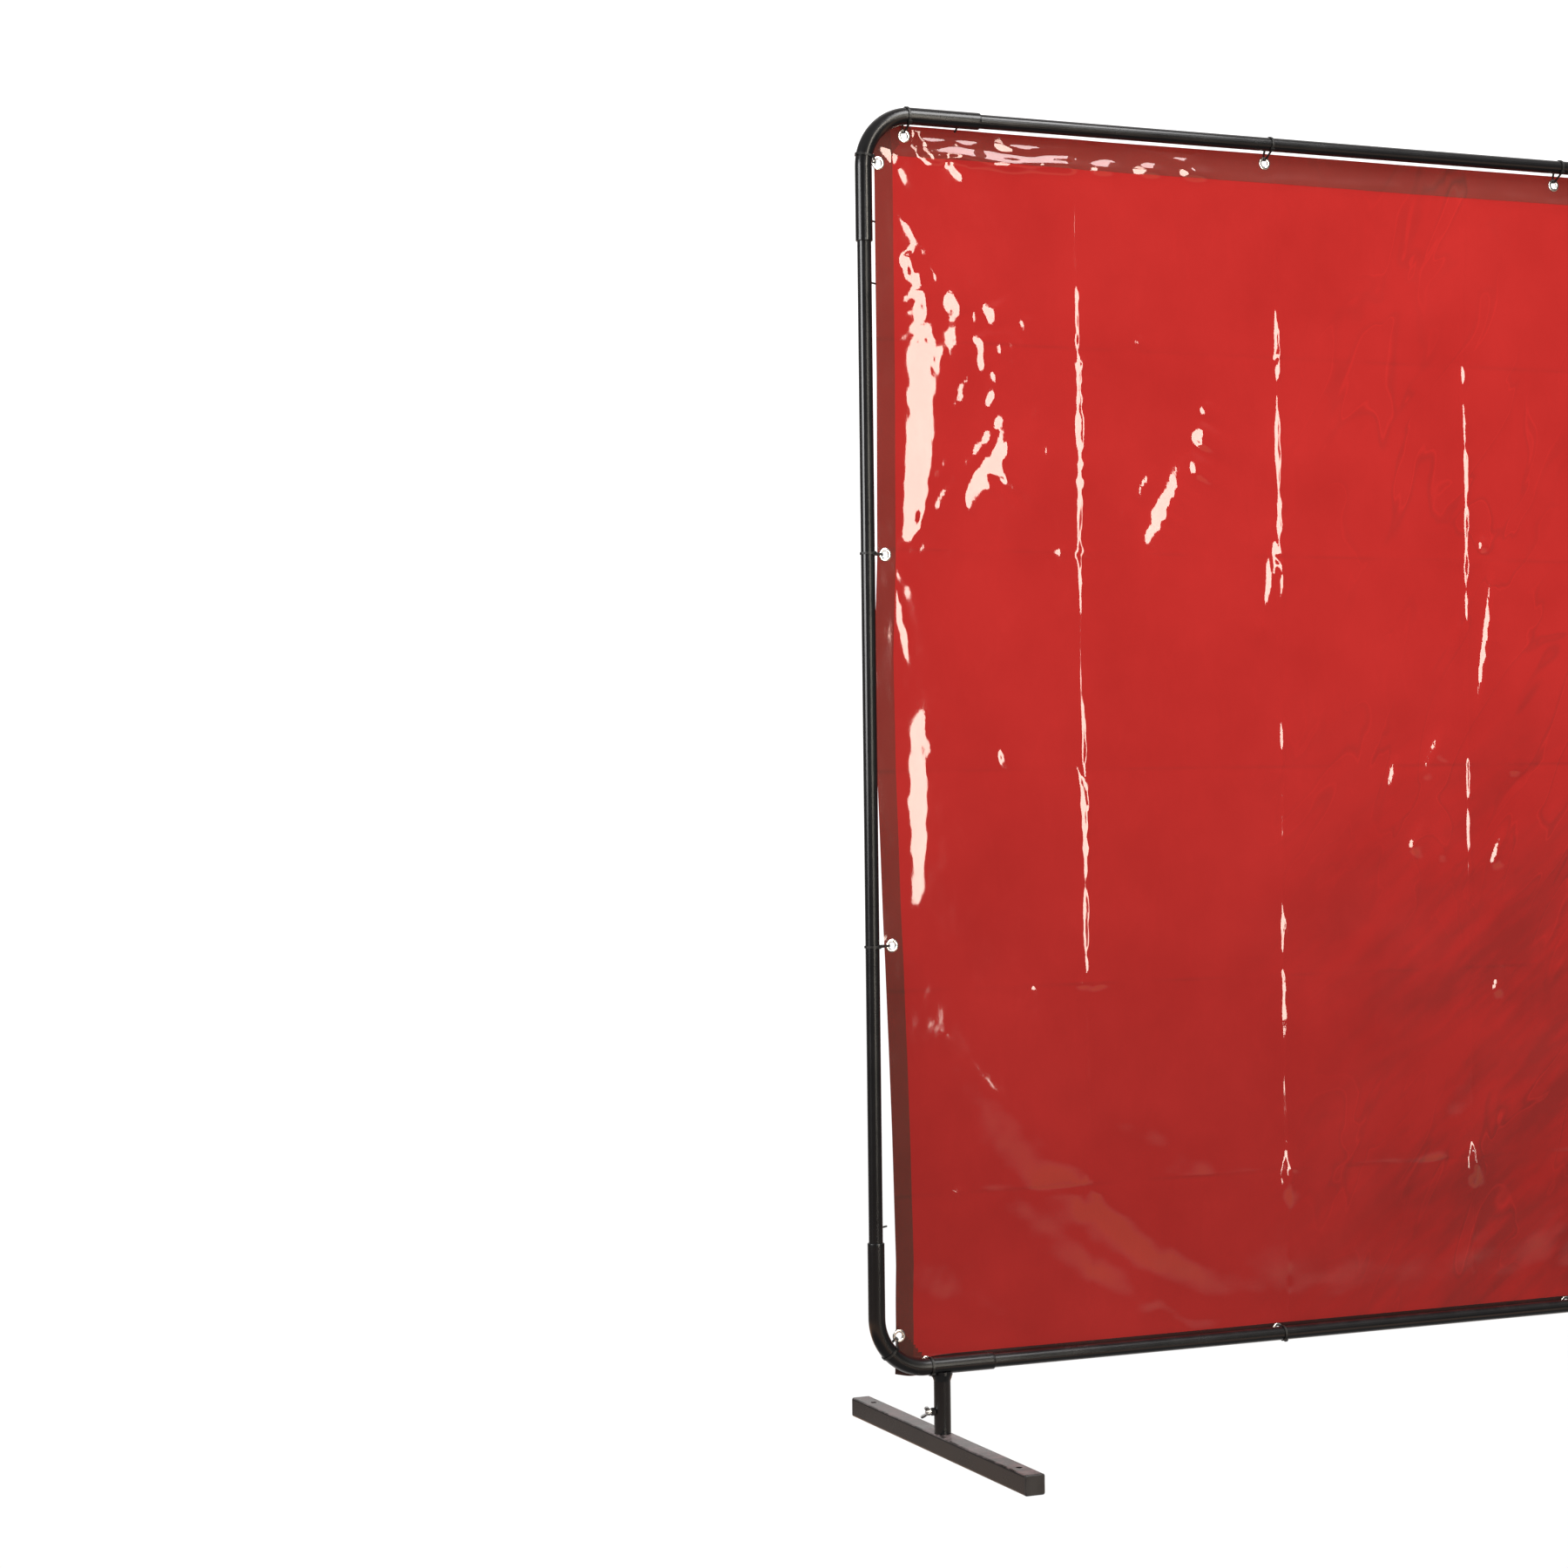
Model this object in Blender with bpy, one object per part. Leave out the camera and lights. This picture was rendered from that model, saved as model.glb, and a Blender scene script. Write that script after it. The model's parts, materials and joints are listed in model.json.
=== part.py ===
"""Free-standing welding curtain screen.

A rectangular tube frame with bent corner sleeves stands on two swivelling feet, and a
PVC curtain is laced into it with cable ties. Units are metres and +Z is up. The frame
lies in the XZ plane, the feet run along Y, and the floor is at Z = 0.
"""
import math

import bmesh
import bpy
from mathutils import Matrix, Vector
from mathutils.geometry import convex_hull_2d

# Frame, measured between tube axes
FRAME_WIDTH = 1.840
FRAME_HEIGHT = 1.760
RAIL_Z = 0.124
TUBE_RADIUS = 0.010
TUBE_WALL = 0.0015
SLEEVE_RADIUS = 0.012
SLEEVE_WALL = 0.0016
BEND_RADIUS = 0.075
SLEEVE_LENGTH = 0.105
TUBE_INSERTION = 0.090
SLEEVE_LIP = 0.0008

# Legs, which are welded under the bottom corner sleeves
LEG_OFFSET = 0.100
LEG_RADIUS = 0.012
LEG_BORE = 0.0105
WELD_RADIUS = 0.015
WELD_HEIGHT = 0.009
SADDLE_LENGTH = 0.060

# Feet, which turn on a spigot inside each leg
FOOT_LENGTH = 0.565
FOOT_WIDTH = 0.030
FOOT_HEIGHT = 0.028
FOOT_WALL = 0.002
FOOT_CORNER = 0.003
CAP_FLANGE = 0.004
CAP_PLUG = 0.012
CAP_PLUG_CORNER = 0.0008
CAP_BEVEL = 0.0015
FLOOR_BOLT_RADIUS = 0.0045
FLOOR_BOLT_INSET = 0.047
SPIGOT_RADIUS = 0.010
SPIGOT_BORE = 0.008
SPIGOT_HEIGHT = 0.070

# Wing screws, M6, one through the outer side of each leg
SCREW_HEIGHT = 0.032
SCREW_RADIUS = 0.0029
SCREW_HOLE = 0.0033
NUT_ACROSS_FLATS = 0.010
NUT_THICKNESS = 0.005
SHANK_END = 0.0190
SHANK_CHAMFER = 0.0006
HUB_RADIUS = 0.005
HUB_LENGTH = 0.0065
HUB_BEVEL = 0.0005
HUB_CROWN = 0.001
WING_REACH = 0.0125
WING_RISE = 0.0075
WING_ROOT = 0.0012
WING_NOTCH = 0.0040
WING_TIP_RADIUS = 0.0030
WING_THICKNESS = 0.0022
WING_ANGLE = math.radians(42)

# Curtain, a flat sheet behind the frame's axis plane
CURTAIN_TOP_WIDTH = 1.800
CURTAIN_BOTTOM_WIDTH = 1.776
CURTAIN_HEIGHT = 1.750
CURTAIN_DROP = 0.016
CURTAIN_Y = 0.015
CURTAIN_THICKNESS = 0.0005

# Eyelets and cable ties; a row's places are distances from the curtain's corner
EYELET_EDGE = 0.009
EYELET_HOLE = 0.005
EYELET_FLANGE = 0.0095
EYELET_BARREL = 0.0067
EYELET_PLATE = 0.0008
EYELET_BEVEL = 0.0004
PUNCH_LENGTH = 0.010
SIDE_PLACES = (0.050, 0.600, 1.150, 1.700)
ROW_PLACES = (0.050, 0.640, 1.160, 1.750)
CORNER_TIE_REACH = 0.013
TIE_THICKNESS = 0.0012
TIE_WIDTH = 0.0032
TIE_CLEARANCE = 0.0004
TIE_HEAD_WIDTH = 0.005
TIE_HEAD_HEIGHT = 0.0032
TIE_HEAD_ANGLE = math.radians(-45)

GAP = 0.0003
TUBE_SIDES = 24
BEND_SIDES = 20
BEND_STEPS = 10
EYELET_SIDES = 16
SMALL_SIDES = 12
SHARP_ANGLE = math.radians(40)

# Colour, roughness and metallic value of each finish
BLACK_PAINT = ((0.018, 0.018, 0.020, 1.0), 0.30, 0.0)
BROWN_BLACK_PAINT = ((0.045, 0.040, 0.038, 1.0), 0.38, 0.0)
BLACK_PLASTIC = ((0.020, 0.020, 0.020, 1.0), 0.50, 0.0)
TIE_NYLON = ((0.012, 0.012, 0.012, 1.0), 0.45, 0.0)
NICKEL = ((0.80, 0.79, 0.77, 1.0), 0.25, 1.0)
ZINC = ((0.55, 0.55, 0.56, 1.0), 0.35, 1.0)
RED_PVC = ((0.60, 0.03, 0.025, 1.0), 0.12, 0.0)


def clear_scene():
    for obj in list(bpy.data.objects):
        bpy.data.objects.remove(obj)


def circle(radius, sides, phase=0.0):
    """Points (u, v) of a circle, counter-clockwise."""
    angles = [phase + 2 * math.pi * i / sides for i in range(sides)]
    return [(radius * math.cos(a), radius * math.sin(a)) for a in angles]


def rounded_rectangle(width, height, radius, steps=3):
    """Points (u, v) of a rectangle with round corners, counter-clockwise."""
    points = []
    corners = ((1, 1, 0.0), (-1, 1, 0.5), (-1, -1, 1.0), (1, -1, 1.5))
    for side_u, side_v, start in corners:
        centre_u = side_u * (width / 2 - radius)
        centre_v = side_v * (height / 2 - radius)
        for i in range(steps + 1):
            angle = math.pi * (start + 0.5 * i / steps)
            points.append((centre_u + radius * math.cos(angle), centre_v + radius * math.sin(angle)))
    return points


def at_height(points, z):
    """Lift plane points to a ring at height z."""
    return [Vector((u, v, z)) for u, v in points]


def skin(name, rings, closed):
    """Mesh through rings of equal length: a closed loop of rings, or a capped solid."""
    bm = bmesh.new()
    loops = [[bm.verts.new(point) for point in ring] for ring in rings]
    count = len(loops[0])
    pairs = list(zip(loops, loops[1:]))
    if closed:
        pairs.append((loops[-1], loops[0]))
    else:
        bm.faces.new(reversed(loops[0]))
        bm.faces.new(loops[-1])
    for lower, upper in pairs:
        for i in range(count):
            j = (i + 1) % count
            bm.faces.new((lower[i], lower[j], upper[j], upper[i]))
    bmesh.ops.recalc_face_normals(bm, faces=bm.faces)
    mesh = bpy.data.meshes.new(name)
    bm.to_mesh(mesh)
    bm.free()
    smooth(mesh)
    return mesh


def smooth(mesh):
    mesh.shade_smooth()
    mesh.set_sharp_from_angle(angle=SHARP_ANGLE)


def place(name, mesh, finish, matrix):
    """Add an object with its own Principled material."""
    obj = bpy.data.objects.new(name, mesh)
    bpy.context.scene.collection.objects.link(obj)
    obj.location = matrix.to_translation()
    obj.rotation_euler = matrix.to_euler()
    colour, roughness, metallic = finish
    material = bpy.data.materials.new(name)
    material.use_nodes = True
    shader = material.node_tree.nodes["Principled BSDF"]
    shader.inputs["Base Color"].default_value = colour
    shader.inputs["Roughness"].default_value = roughness
    shader.inputs["Metallic"].default_value = metallic
    if not mesh.materials:
        mesh.materials.append(None)
    obj.material_slots[0].link = "OBJECT"
    obj.material_slots[0].material = material
    return obj


def shift(x=0.0, y=0.0, z=0.0):
    return Matrix.Translation((x, y, z))


def turn(degrees, axis):
    return Matrix.Rotation(math.radians(degrees), 4, axis)


def bake_boolean(obj, tool, operation):
    """Combine obj with a helper object, which is then removed."""
    material = obj.material_slots[0].material
    modifier = obj.modifiers.new(operation, "BOOLEAN")
    modifier.object = tool
    modifier.operation = operation
    modifier.solver = "EXACT"
    bpy.context.view_layer.update()
    depsgraph = bpy.context.evaluated_depsgraph_get()
    baked = bpy.data.meshes.new_from_object(obj.evaluated_get(depsgraph))
    obj.modifiers.clear()
    baked.materials.clear()
    baked.materials.append(material)
    obj.data = baked
    smooth(baked)
    bpy.data.objects.remove(tool)


def rod(name, radius, length, sides, matrix):
    """Plain cylinder centred on its origin, used as a cutter."""
    outline = circle(radius, sides)
    rings = [at_height(outline, -length / 2), at_height(outline, length / 2)]
    return place(name, skin(name, rings, closed=False), BLACK_PAINT, matrix)


def tube_mesh(name, radius, bore, length, sides):
    """Straight hollow tube, centred on its origin and lying along Z."""
    outer = circle(radius, sides)
    inner = circle(bore, sides)
    half = length / 2
    rings = [at_height(outer, -half), at_height(outer, half), at_height(inner, half), at_height(inner, -half)]
    return skin(name, rings, closed=True)


def make_frame_tubes():
    corner = BEND_RADIUS + SLEEVE_LENGTH - TUBE_INSERTION
    bore = TUBE_RADIUS - TUBE_WALL
    rail = tube_mesh("rail", TUBE_RADIUS, bore, FRAME_WIDTH - 2 * corner, TUBE_SIDES)
    upright = tube_mesh("upright", TUBE_RADIUS, bore, FRAME_HEIGHT - 2 * corner, TUBE_SIDES)
    along_x = turn(90, "Y")
    place("bottom_rail", rail, BLACK_PAINT, shift(z=RAIL_Z) @ along_x)
    place("top_rail", rail, BLACK_PAINT, shift(z=RAIL_Z + FRAME_HEIGHT) @ along_x)
    middle = RAIL_Z + FRAME_HEIGHT / 2
    place("left_upright", upright, BLACK_PAINT, shift(-FRAME_WIDTH / 2, 0, middle))
    place("right_upright", upright, BLACK_PAINT, shift(FRAME_WIDTH / 2, 0, middle))


def elbow_mesh():
    """Corner sleeve whose axes cross at the origin, with sockets along +X and -Z."""
    stations = [(Vector((BEND_RADIUS + SLEEVE_LENGTH, 0, 0)), 0.0)]
    for i in range(BEND_STEPS + 1):
        angle = math.pi / 2 * i / BEND_STEPS
        along = Vector((BEND_RADIUS * (1 - math.sin(angle)), 0, BEND_RADIUS * (math.cos(angle) - 1)))
        stations.append((along, angle))
    stations.append((Vector((0, 0, -BEND_RADIUS - SLEEVE_LENGTH)), math.pi / 2))

    def ring(index, radius, back=0.0):
        centre, angle = stations[index]
        forward = Vector((math.cos(angle), 0, math.sin(angle)))
        side = Vector((-math.sin(angle), 0, math.cos(angle)))
        inward = -back if index == 0 else back
        centre = centre + forward * inward
        return [centre + side * u + Vector((0, v, 0)) for u, v in circle(radius, BEND_SIDES)]

    last = len(stations) - 1
    lip = SLEEVE_RADIUS - SLEEVE_LIP
    bore = SLEEVE_RADIUS - SLEEVE_WALL
    outer = [ring(0, lip), ring(0, SLEEVE_RADIUS, SLEEVE_LIP)]
    outer += [ring(i, SLEEVE_RADIUS) for i in range(1, last)]
    outer += [ring(last, SLEEVE_RADIUS, SLEEVE_LIP), ring(last, lip)]
    inner = [ring(i, bore) for i in range(last, -1, -1)]
    return skin("elbow", outer + inner, closed=True)


def make_elbows():
    mesh = elbow_mesh()
    half = FRAME_WIDTH / 2
    top = RAIL_Z + FRAME_HEIGHT
    corners = (
        ("top_left_elbow", -half, top, 0),
        ("top_right_elbow", half, top, 90),
        ("bottom_right_elbow", half, RAIL_Z, 180),
        ("bottom_left_elbow", -half, RAIL_Z, 270),
    )
    for name, x, z, degrees in corners:
        place(name, mesh, BLACK_PAINT, shift(x, 0, z) @ turn(degrees, "Y"))


def leg_mesh():
    """Leg tube with the weld's flare at its top; the sleeve's axis is at height 0."""
    bottom = FOOT_HEIGHT + GAP - RAIL_Z
    flare = -SLEEVE_RADIUS - GAP
    profile = (
        (LEG_BORE, bottom),
        (LEG_RADIUS, bottom),
        (LEG_RADIUS, flare - WELD_HEIGHT),
        (WELD_RADIUS, flare),
        (WELD_RADIUS - GAP, flare + WELD_HEIGHT / 2),
        (LEG_BORE, flare + WELD_HEIGHT / 2),
    )
    rings = [at_height(circle(radius, TUBE_SIDES), z) for radius, z in profile]
    return skin("leg", rings, closed=True)


def make_legs():
    mesh = leg_mesh()
    screw_z = FOOT_HEIGHT + SCREW_HEIGHT
    for name, side in (("left_leg", -1), ("right_leg", 1)):
        x = side * (FRAME_WIDTH / 2 - LEG_OFFSET)
        leg = place(name, mesh, BLACK_PAINT, shift(x, 0, RAIL_Z))
        along_x = turn(90, "Y")
        saddle = rod("saddle", SLEEVE_RADIUS + GAP, SADDLE_LENGTH, TUBE_SIDES, shift(x, 0, RAIL_Z) @ along_x)
        bake_boolean(leg, saddle, "DIFFERENCE")
        hole_x = x + side * LEG_RADIUS
        hole = rod("hole", SCREW_HOLE, LEG_RADIUS, SMALL_SIDES, shift(hole_x, 0, screw_z) @ along_x)
        bake_boolean(leg, hole, "DIFFERENCE")


def outward(side, x, z):
    """Matrix at (x, 0, z) whose local Z points away from the screen's middle along X."""
    return shift(x, 0, z) @ turn(90 * side, "Y")


def nut_mesh():
    """Hexagon nut standing on Z = 0."""
    corner = NUT_ACROSS_FLATS / 2 / math.cos(math.pi / 6)
    hexagon = []
    for i in range(SMALL_SIDES):
        radius = corner if i % 2 == 0 else NUT_ACROSS_FLATS / 2
        angle = 2 * math.pi * i / SMALL_SIDES
        hexagon.append((radius * math.cos(angle), radius * math.sin(angle)))
    bore = circle(SCREW_HOLE, SMALL_SIDES)
    top = NUT_THICKNESS
    rings = [at_height(hexagon, 0), at_height(hexagon, top), at_height(bore, top), at_height(bore, 0)]
    return skin("nut", rings, closed=True)


def shank_mesh():
    """Screw shank from the spigot's surface out to the hub, with a chamfered tip."""
    tip = SPIGOT_RADIUS + GAP
    profile = (
        (SCREW_RADIUS - SHANK_CHAMFER, tip),
        (SCREW_RADIUS, tip + SHANK_CHAMFER),
        (SCREW_RADIUS, SHANK_END),
    )
    rings = [at_height(circle(radius, SMALL_SIDES), z) for radius, z in profile]
    return skin("shank", rings, closed=False)


def hub_mesh():
    """Domed hub of the wing head, just outside the shank's end."""
    start = SHANK_END + GAP
    end = start + HUB_LENGTH
    profile = (
        (HUB_RADIUS - HUB_BEVEL, start),
        (HUB_RADIUS, start + HUB_BEVEL),
        (HUB_RADIUS * 0.90, end - HUB_CROWN),
        (HUB_RADIUS * 0.55, end),
    )
    rings = [at_height(circle(radius, SMALL_SIDES), z) for radius, z in profile]
    return skin("hub", rings, closed=False)


def wings_mesh():
    """Butterfly plate through the hub: two wings that flare outward, with round tips."""
    base = SHANK_END + GAP + WING_ROOT
    tip_u = WING_REACH - WING_TIP_RADIUS
    tip_w = base + WING_RISE
    wing = [(0.0, base), (HUB_RADIUS, base)]
    for i in range(7):
        angle = math.radians(-50 + 190 * i / 6)
        u = tip_u + WING_TIP_RADIUS * math.cos(angle)
        wing.append((u, tip_w + WING_TIP_RADIUS * math.sin(angle)))
    wing += [(HUB_RADIUS * 0.6, base + WING_NOTCH), (0.0, base + WING_NOTCH)]
    other = [(-u, w) for u, w in reversed(wing[1:-1])]
    outline = wing + other
    half = WING_THICKNESS / 2
    rings = [[Vector((u, v, w)) for u, w in outline] for v in (half, -half)]
    return skin("wings", rings, closed=False)


def make_wing_screws():
    nut = nut_mesh()
    shank = shank_mesh()
    z = FOOT_HEIGHT + SCREW_HEIGHT
    for name, side in (("left", -1), ("right", 1)):
        x = side * (FRAME_WIDTH / 2 - LEG_OFFSET)
        base = outward(side, x, z)
        place(name + "_leg_nut", nut, BLACK_PAINT, base @ shift(z=LEG_RADIUS + GAP))
        place(name + "_screw_shank", shank, ZINC, base)
        tilted = base @ Matrix.Rotation(side * WING_ANGLE, 4, "Z")
        head = place(name + "_wing_head", hub_mesh(), ZINC, tilted)
        wings = place("wings", wings_mesh(), ZINC, tilted)
        bake_boolean(head, wings, "UNION")


def foot_beam_mesh():
    """Box tube along Z, centred on its origin."""
    outer = rounded_rectangle(FOOT_WIDTH, FOOT_HEIGHT, FOOT_CORNER)
    inner_width = FOOT_WIDTH - 2 * FOOT_WALL
    inner_height = FOOT_HEIGHT - 2 * FOOT_WALL
    inner = rounded_rectangle(inner_width, inner_height, FOOT_CORNER - FOOT_WALL)
    half = FOOT_LENGTH / 2 - CAP_FLANGE - GAP
    rings = [at_height(outer, -half), at_height(outer, half), at_height(inner, half), at_height(inner, -half)]
    return skin("foot_beam", rings, closed=True)


def cap_mesh():
    """End cap with its plug below Z = 0 and its rounded flange above."""
    slack = 2 * (FOOT_WALL + GAP)
    plug = rounded_rectangle(FOOT_WIDTH - slack, FOOT_HEIGHT - slack, CAP_PLUG_CORNER)
    flange = rounded_rectangle(FOOT_WIDTH, FOOT_HEIGHT, FOOT_CORNER)
    crown = rounded_rectangle(FOOT_WIDTH - 2 * CAP_BEVEL, FOOT_HEIGHT - 2 * CAP_BEVEL, FOOT_CORNER)
    rings = [
        at_height(plug, -CAP_PLUG),
        at_height(plug, 0),
        at_height(flange, 0),
        at_height(flange, CAP_FLANGE - CAP_BEVEL),
        at_height(crown, CAP_FLANGE),
    ]
    return skin("cap", rings, closed=False)


def make_feet():
    beam_mesh = foot_beam_mesh()
    cap = cap_mesh()
    spigot = tube_mesh("spigot", SPIGOT_RADIUS, SPIGOT_BORE, SPIGOT_HEIGHT, TUBE_SIDES)
    axis_z = FOOT_HEIGHT / 2
    bolt_y = FOOT_LENGTH / 2 - FLOOR_BOLT_INSET
    cap_y = FOOT_LENGTH / 2 - CAP_FLANGE
    for name, side in (("left", -1), ("right", 1)):
        x = side * (FRAME_WIDTH / 2 - LEG_OFFSET)
        beam = place(name + "_foot_beam", beam_mesh, BROWN_BLACK_PAINT, shift(x, 0, axis_z) @ turn(90, "X"))
        for y in (-bolt_y, bolt_y):
            drill = rod("drill", FLOOR_BOLT_RADIUS, 2 * FOOT_HEIGHT, SMALL_SIDES, shift(x, y, axis_z))
            bake_boolean(beam, drill, "DIFFERENCE")
        spigot_z = FOOT_HEIGHT + GAP + SPIGOT_HEIGHT / 2
        place(name + "_foot_spigot", spigot, BROWN_BLACK_PAINT, shift(x, 0, spigot_z))
        front = shift(x, -cap_y, axis_z) @ turn(90, "X")
        back = shift(x, cap_y, axis_z) @ turn(-90, "X")
        place(name + "_foot_front_cap", cap, BLACK_PLASTIC, front)
        place(name + "_foot_back_cap", cap, BLACK_PLASTIC, back)


def curtain_top():
    return RAIL_Z + FRAME_HEIGHT - CURTAIN_DROP


def curtain_edge(z):
    """Half the curtain's width at height z."""
    share = (curtain_top() - z) / CURTAIN_HEIGHT
    return (CURTAIN_TOP_WIDTH + share * (CURTAIN_BOTTOM_WIDTH - CURTAIN_TOP_WIDTH)) / 2


def eyelet_rows():
    """Each eyelet's node suffix, place (x, z) and the side of the curtain that it is on."""
    top = curtain_top()
    bottom = top - CURTAIN_HEIGHT
    eyelets = []
    for i, place_along in enumerate(ROW_PLACES, start=1):
        share = place_along / CURTAIN_TOP_WIDTH
        top_x = (share - 0.5) * CURTAIN_TOP_WIDTH
        inset = min(place_along, CURTAIN_TOP_WIDTH - place_along)
        bottom_x = top_x
        if i in (1, len(ROW_PLACES)):
            bottom_x = math.copysign(CURTAIN_BOTTOM_WIDTH / 2 - inset, top_x)
        eyelets.append((f"top_{i}", top_x, top - EYELET_EDGE))
        eyelets.append((f"bottom_{i}", bottom_x, bottom + EYELET_EDGE))
    for i, drop in enumerate(SIDE_PLACES, start=1):
        z = top - drop
        x = curtain_edge(z) - EYELET_EDGE
        eyelets.append((f"left_{i}", -x, z))
        eyelets.append((f"right_{i}", x, z))
    return eyelets


def make_curtain(eyelets):
    top = curtain_top()
    bottom = top - CURTAIN_HEIGHT
    wide = curtain_edge(top)
    narrow = curtain_edge(bottom)
    outline = [(-narrow, bottom), (narrow, bottom), (wide, top), (-wide, top)]
    half = CURTAIN_THICKNESS / 2
    rings = [[Vector((x, y, z)) for x, z in outline] for y in (half, -half)]
    curtain = place("curtain", skin("curtain", rings, closed=False), RED_PVC, shift(y=CURTAIN_Y))
    for _, x, z in eyelets:
        matrix = shift(x, CURTAIN_Y, z) @ turn(90, "X")
        punch = rod("punch", EYELET_BARREL + GAP, PUNCH_LENGTH, EYELET_SIDES, matrix)
        bake_boolean(curtain, punch, "DIFFERENCE")


def eyelet_mesh():
    """Spool-shaped ring on Z: a flange on each face of the curtain and a barrel through it."""
    inner = CURTAIN_THICKNESS / 2 + GAP
    outer = inner + EYELET_PLATE
    profile = (
        (EYELET_HOLE, -outer),
        (EYELET_FLANGE - EYELET_BEVEL, -outer),
        (EYELET_FLANGE, -inner),
        (EYELET_BARREL, -inner),
        (EYELET_BARREL, inner),
        (EYELET_FLANGE, inner),
        (EYELET_FLANGE - EYELET_BEVEL, outer),
        (EYELET_HOLE, outer),
    )
    rings = [at_height(circle(radius, EYELET_SIDES), z) for radius, z in profile]
    return skin("eyelet", rings, closed=True)


def make_eyelets(eyelets):
    mesh = eyelet_mesh()
    for name, x, z in eyelets:
        place("eyelet_" + name, mesh, NICKEL, shift(x, CURTAIN_Y, z) @ turn(90, "X"))


def tie_loop(radius, rim_near, rim_far):
    """Middle line of a tie drawn tight round a tube at the origin and the curtain's rim.

    Local X runs from the tube towards the eyelet, and local Y through the curtain.
    """
    spread = TIE_CLEARANCE + TIE_THICKNESS / 2
    face = CURTAIN_THICKNESS / 2 + GAP + EYELET_PLATE
    points = circle(radius + spread, 20, TIE_HEAD_ANGLE - math.pi / 20)
    for x in (rim_near, rim_far):
        for y in (CURTAIN_Y - face, CURTAIN_Y + face):
            points += [(x + u, y + v) for u, v in circle(spread, 8)]
    return [Vector(points[i]) for i in convex_hull_2d([Vector(p) for p in points])]


def tie_mesh(radius, rim_near, rim_far):
    """Flat band along the loop, with the square head on one segment of it."""
    loop = tie_loop(radius, rim_near, rim_far)
    count = len(loop)
    if sum(a.cross(b) for a, b in zip(loop, loop[1:] + loop[:1])) < 0:
        loop.reverse()
    head_at = Vector((math.cos(TIE_HEAD_ANGLE), math.sin(TIE_HEAD_ANGLE))) * radius
    middles = [(loop[i] + loop[(i + 1) % count]) / 2 for i in range(count)]
    head = min(range(count), key=lambda i: (middles[i] - head_at).length)

    def section(index, inner, outer, width):
        before = (loop[index] - loop[index - 1]).normalized()
        after = (loop[(index + 1) % count] - loop[index]).normalized()
        along = (before + after).normalized()
        out = Vector((along.y, -along.x))
        low = loop[index] + out * inner
        high = loop[index] + out * outer
        half = width / 2
        return [
            Vector((low.x, low.y, -half)),
            Vector((high.x, high.y, -half)),
            Vector((high.x, high.y, half)),
            Vector((low.x, low.y, half)),
        ]

    half = TIE_THICKNESS / 2
    rings = []
    for i in range(count):
        band = section(i, -half, half, TIE_WIDTH)
        block = section(i, -half * 0.5, TIE_HEAD_HEIGHT, TIE_HEAD_WIDTH)
        if i == head:
            rings += [band, block]
        elif i == (head + 1) % count:
            rings += [block, band]
        else:
            rings.append(band)
    return skin("tie", rings, closed=True)


def frame_axis_near(x, z):
    """Nearest point of the frame's axis line, which turns each corner on an arc."""
    half = FRAME_WIDTH / 2
    side = math.copysign(1, x)
    top = RAIL_Z + FRAME_HEIGHT
    level = 1 if z > RAIL_Z + FRAME_HEIGHT / 2 else -1
    rail_z = top if level > 0 else RAIL_Z
    centre = Vector((side * (half - BEND_RADIUS), rail_z - level * BEND_RADIUS))
    arm = Vector((x, z)) - centre
    if arm.x * side > 0 and arm.y * level > 0:
        return centre + arm.normalized() * BEND_RADIUS
    if arm.x * side > 0:
        return Vector((side * half, z))
    return Vector((x, rail_z))


def tie_spot(name, x, z):
    """Where a tie sits: the tube's point and radius, its direction and the rim it holds."""
    tube = frame_axis_near(x, z)
    corner = name[-1] in "14"
    radius = SLEEVE_RADIUS if corner else TUBE_RADIUS
    if name.startswith("bottom"):
        offset = tube.y - z
        return tube, radius, Vector((0, -1)), offset + EYELET_HOLE, offset + EYELET_FLANGE
    reach = Vector((x, z)) - tube
    edge = CORNER_TIE_REACH if name in ("left_4", "right_4") else EYELET_FLANGE
    return tube, radius, reach.normalized(), reach.length - edge, reach.length - EYELET_HOLE


def make_ties(eyelets):
    for name, x, z in eyelets:
        tube, radius, towards, rim_near, rim_far = tie_spot(name, x, z)
        mesh = tie_mesh(radius, rim_near, rim_far)
        local_x = Vector((towards.x, 0, towards.y))
        local_y = Vector((0, 1, 0))
        local_z = local_x.cross(local_y)
        rotation = Matrix((local_x, local_y, local_z)).transposed().to_4x4()
        place("tie_" + name, mesh, TIE_NYLON, shift(tube.x, 0, tube.y) @ rotation)


def main():
    clear_scene()
    make_frame_tubes()
    make_elbows()
    make_legs()
    make_wing_screws()
    make_feet()
    eyelets = eyelet_rows()
    make_curtain(eyelets)
    make_eyelets(eyelets)
    make_ties(eyelets)


main()
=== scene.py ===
import json
import math

import bmesh
import bpy
import numpy as np
from mathutils import Matrix, Vector


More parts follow.
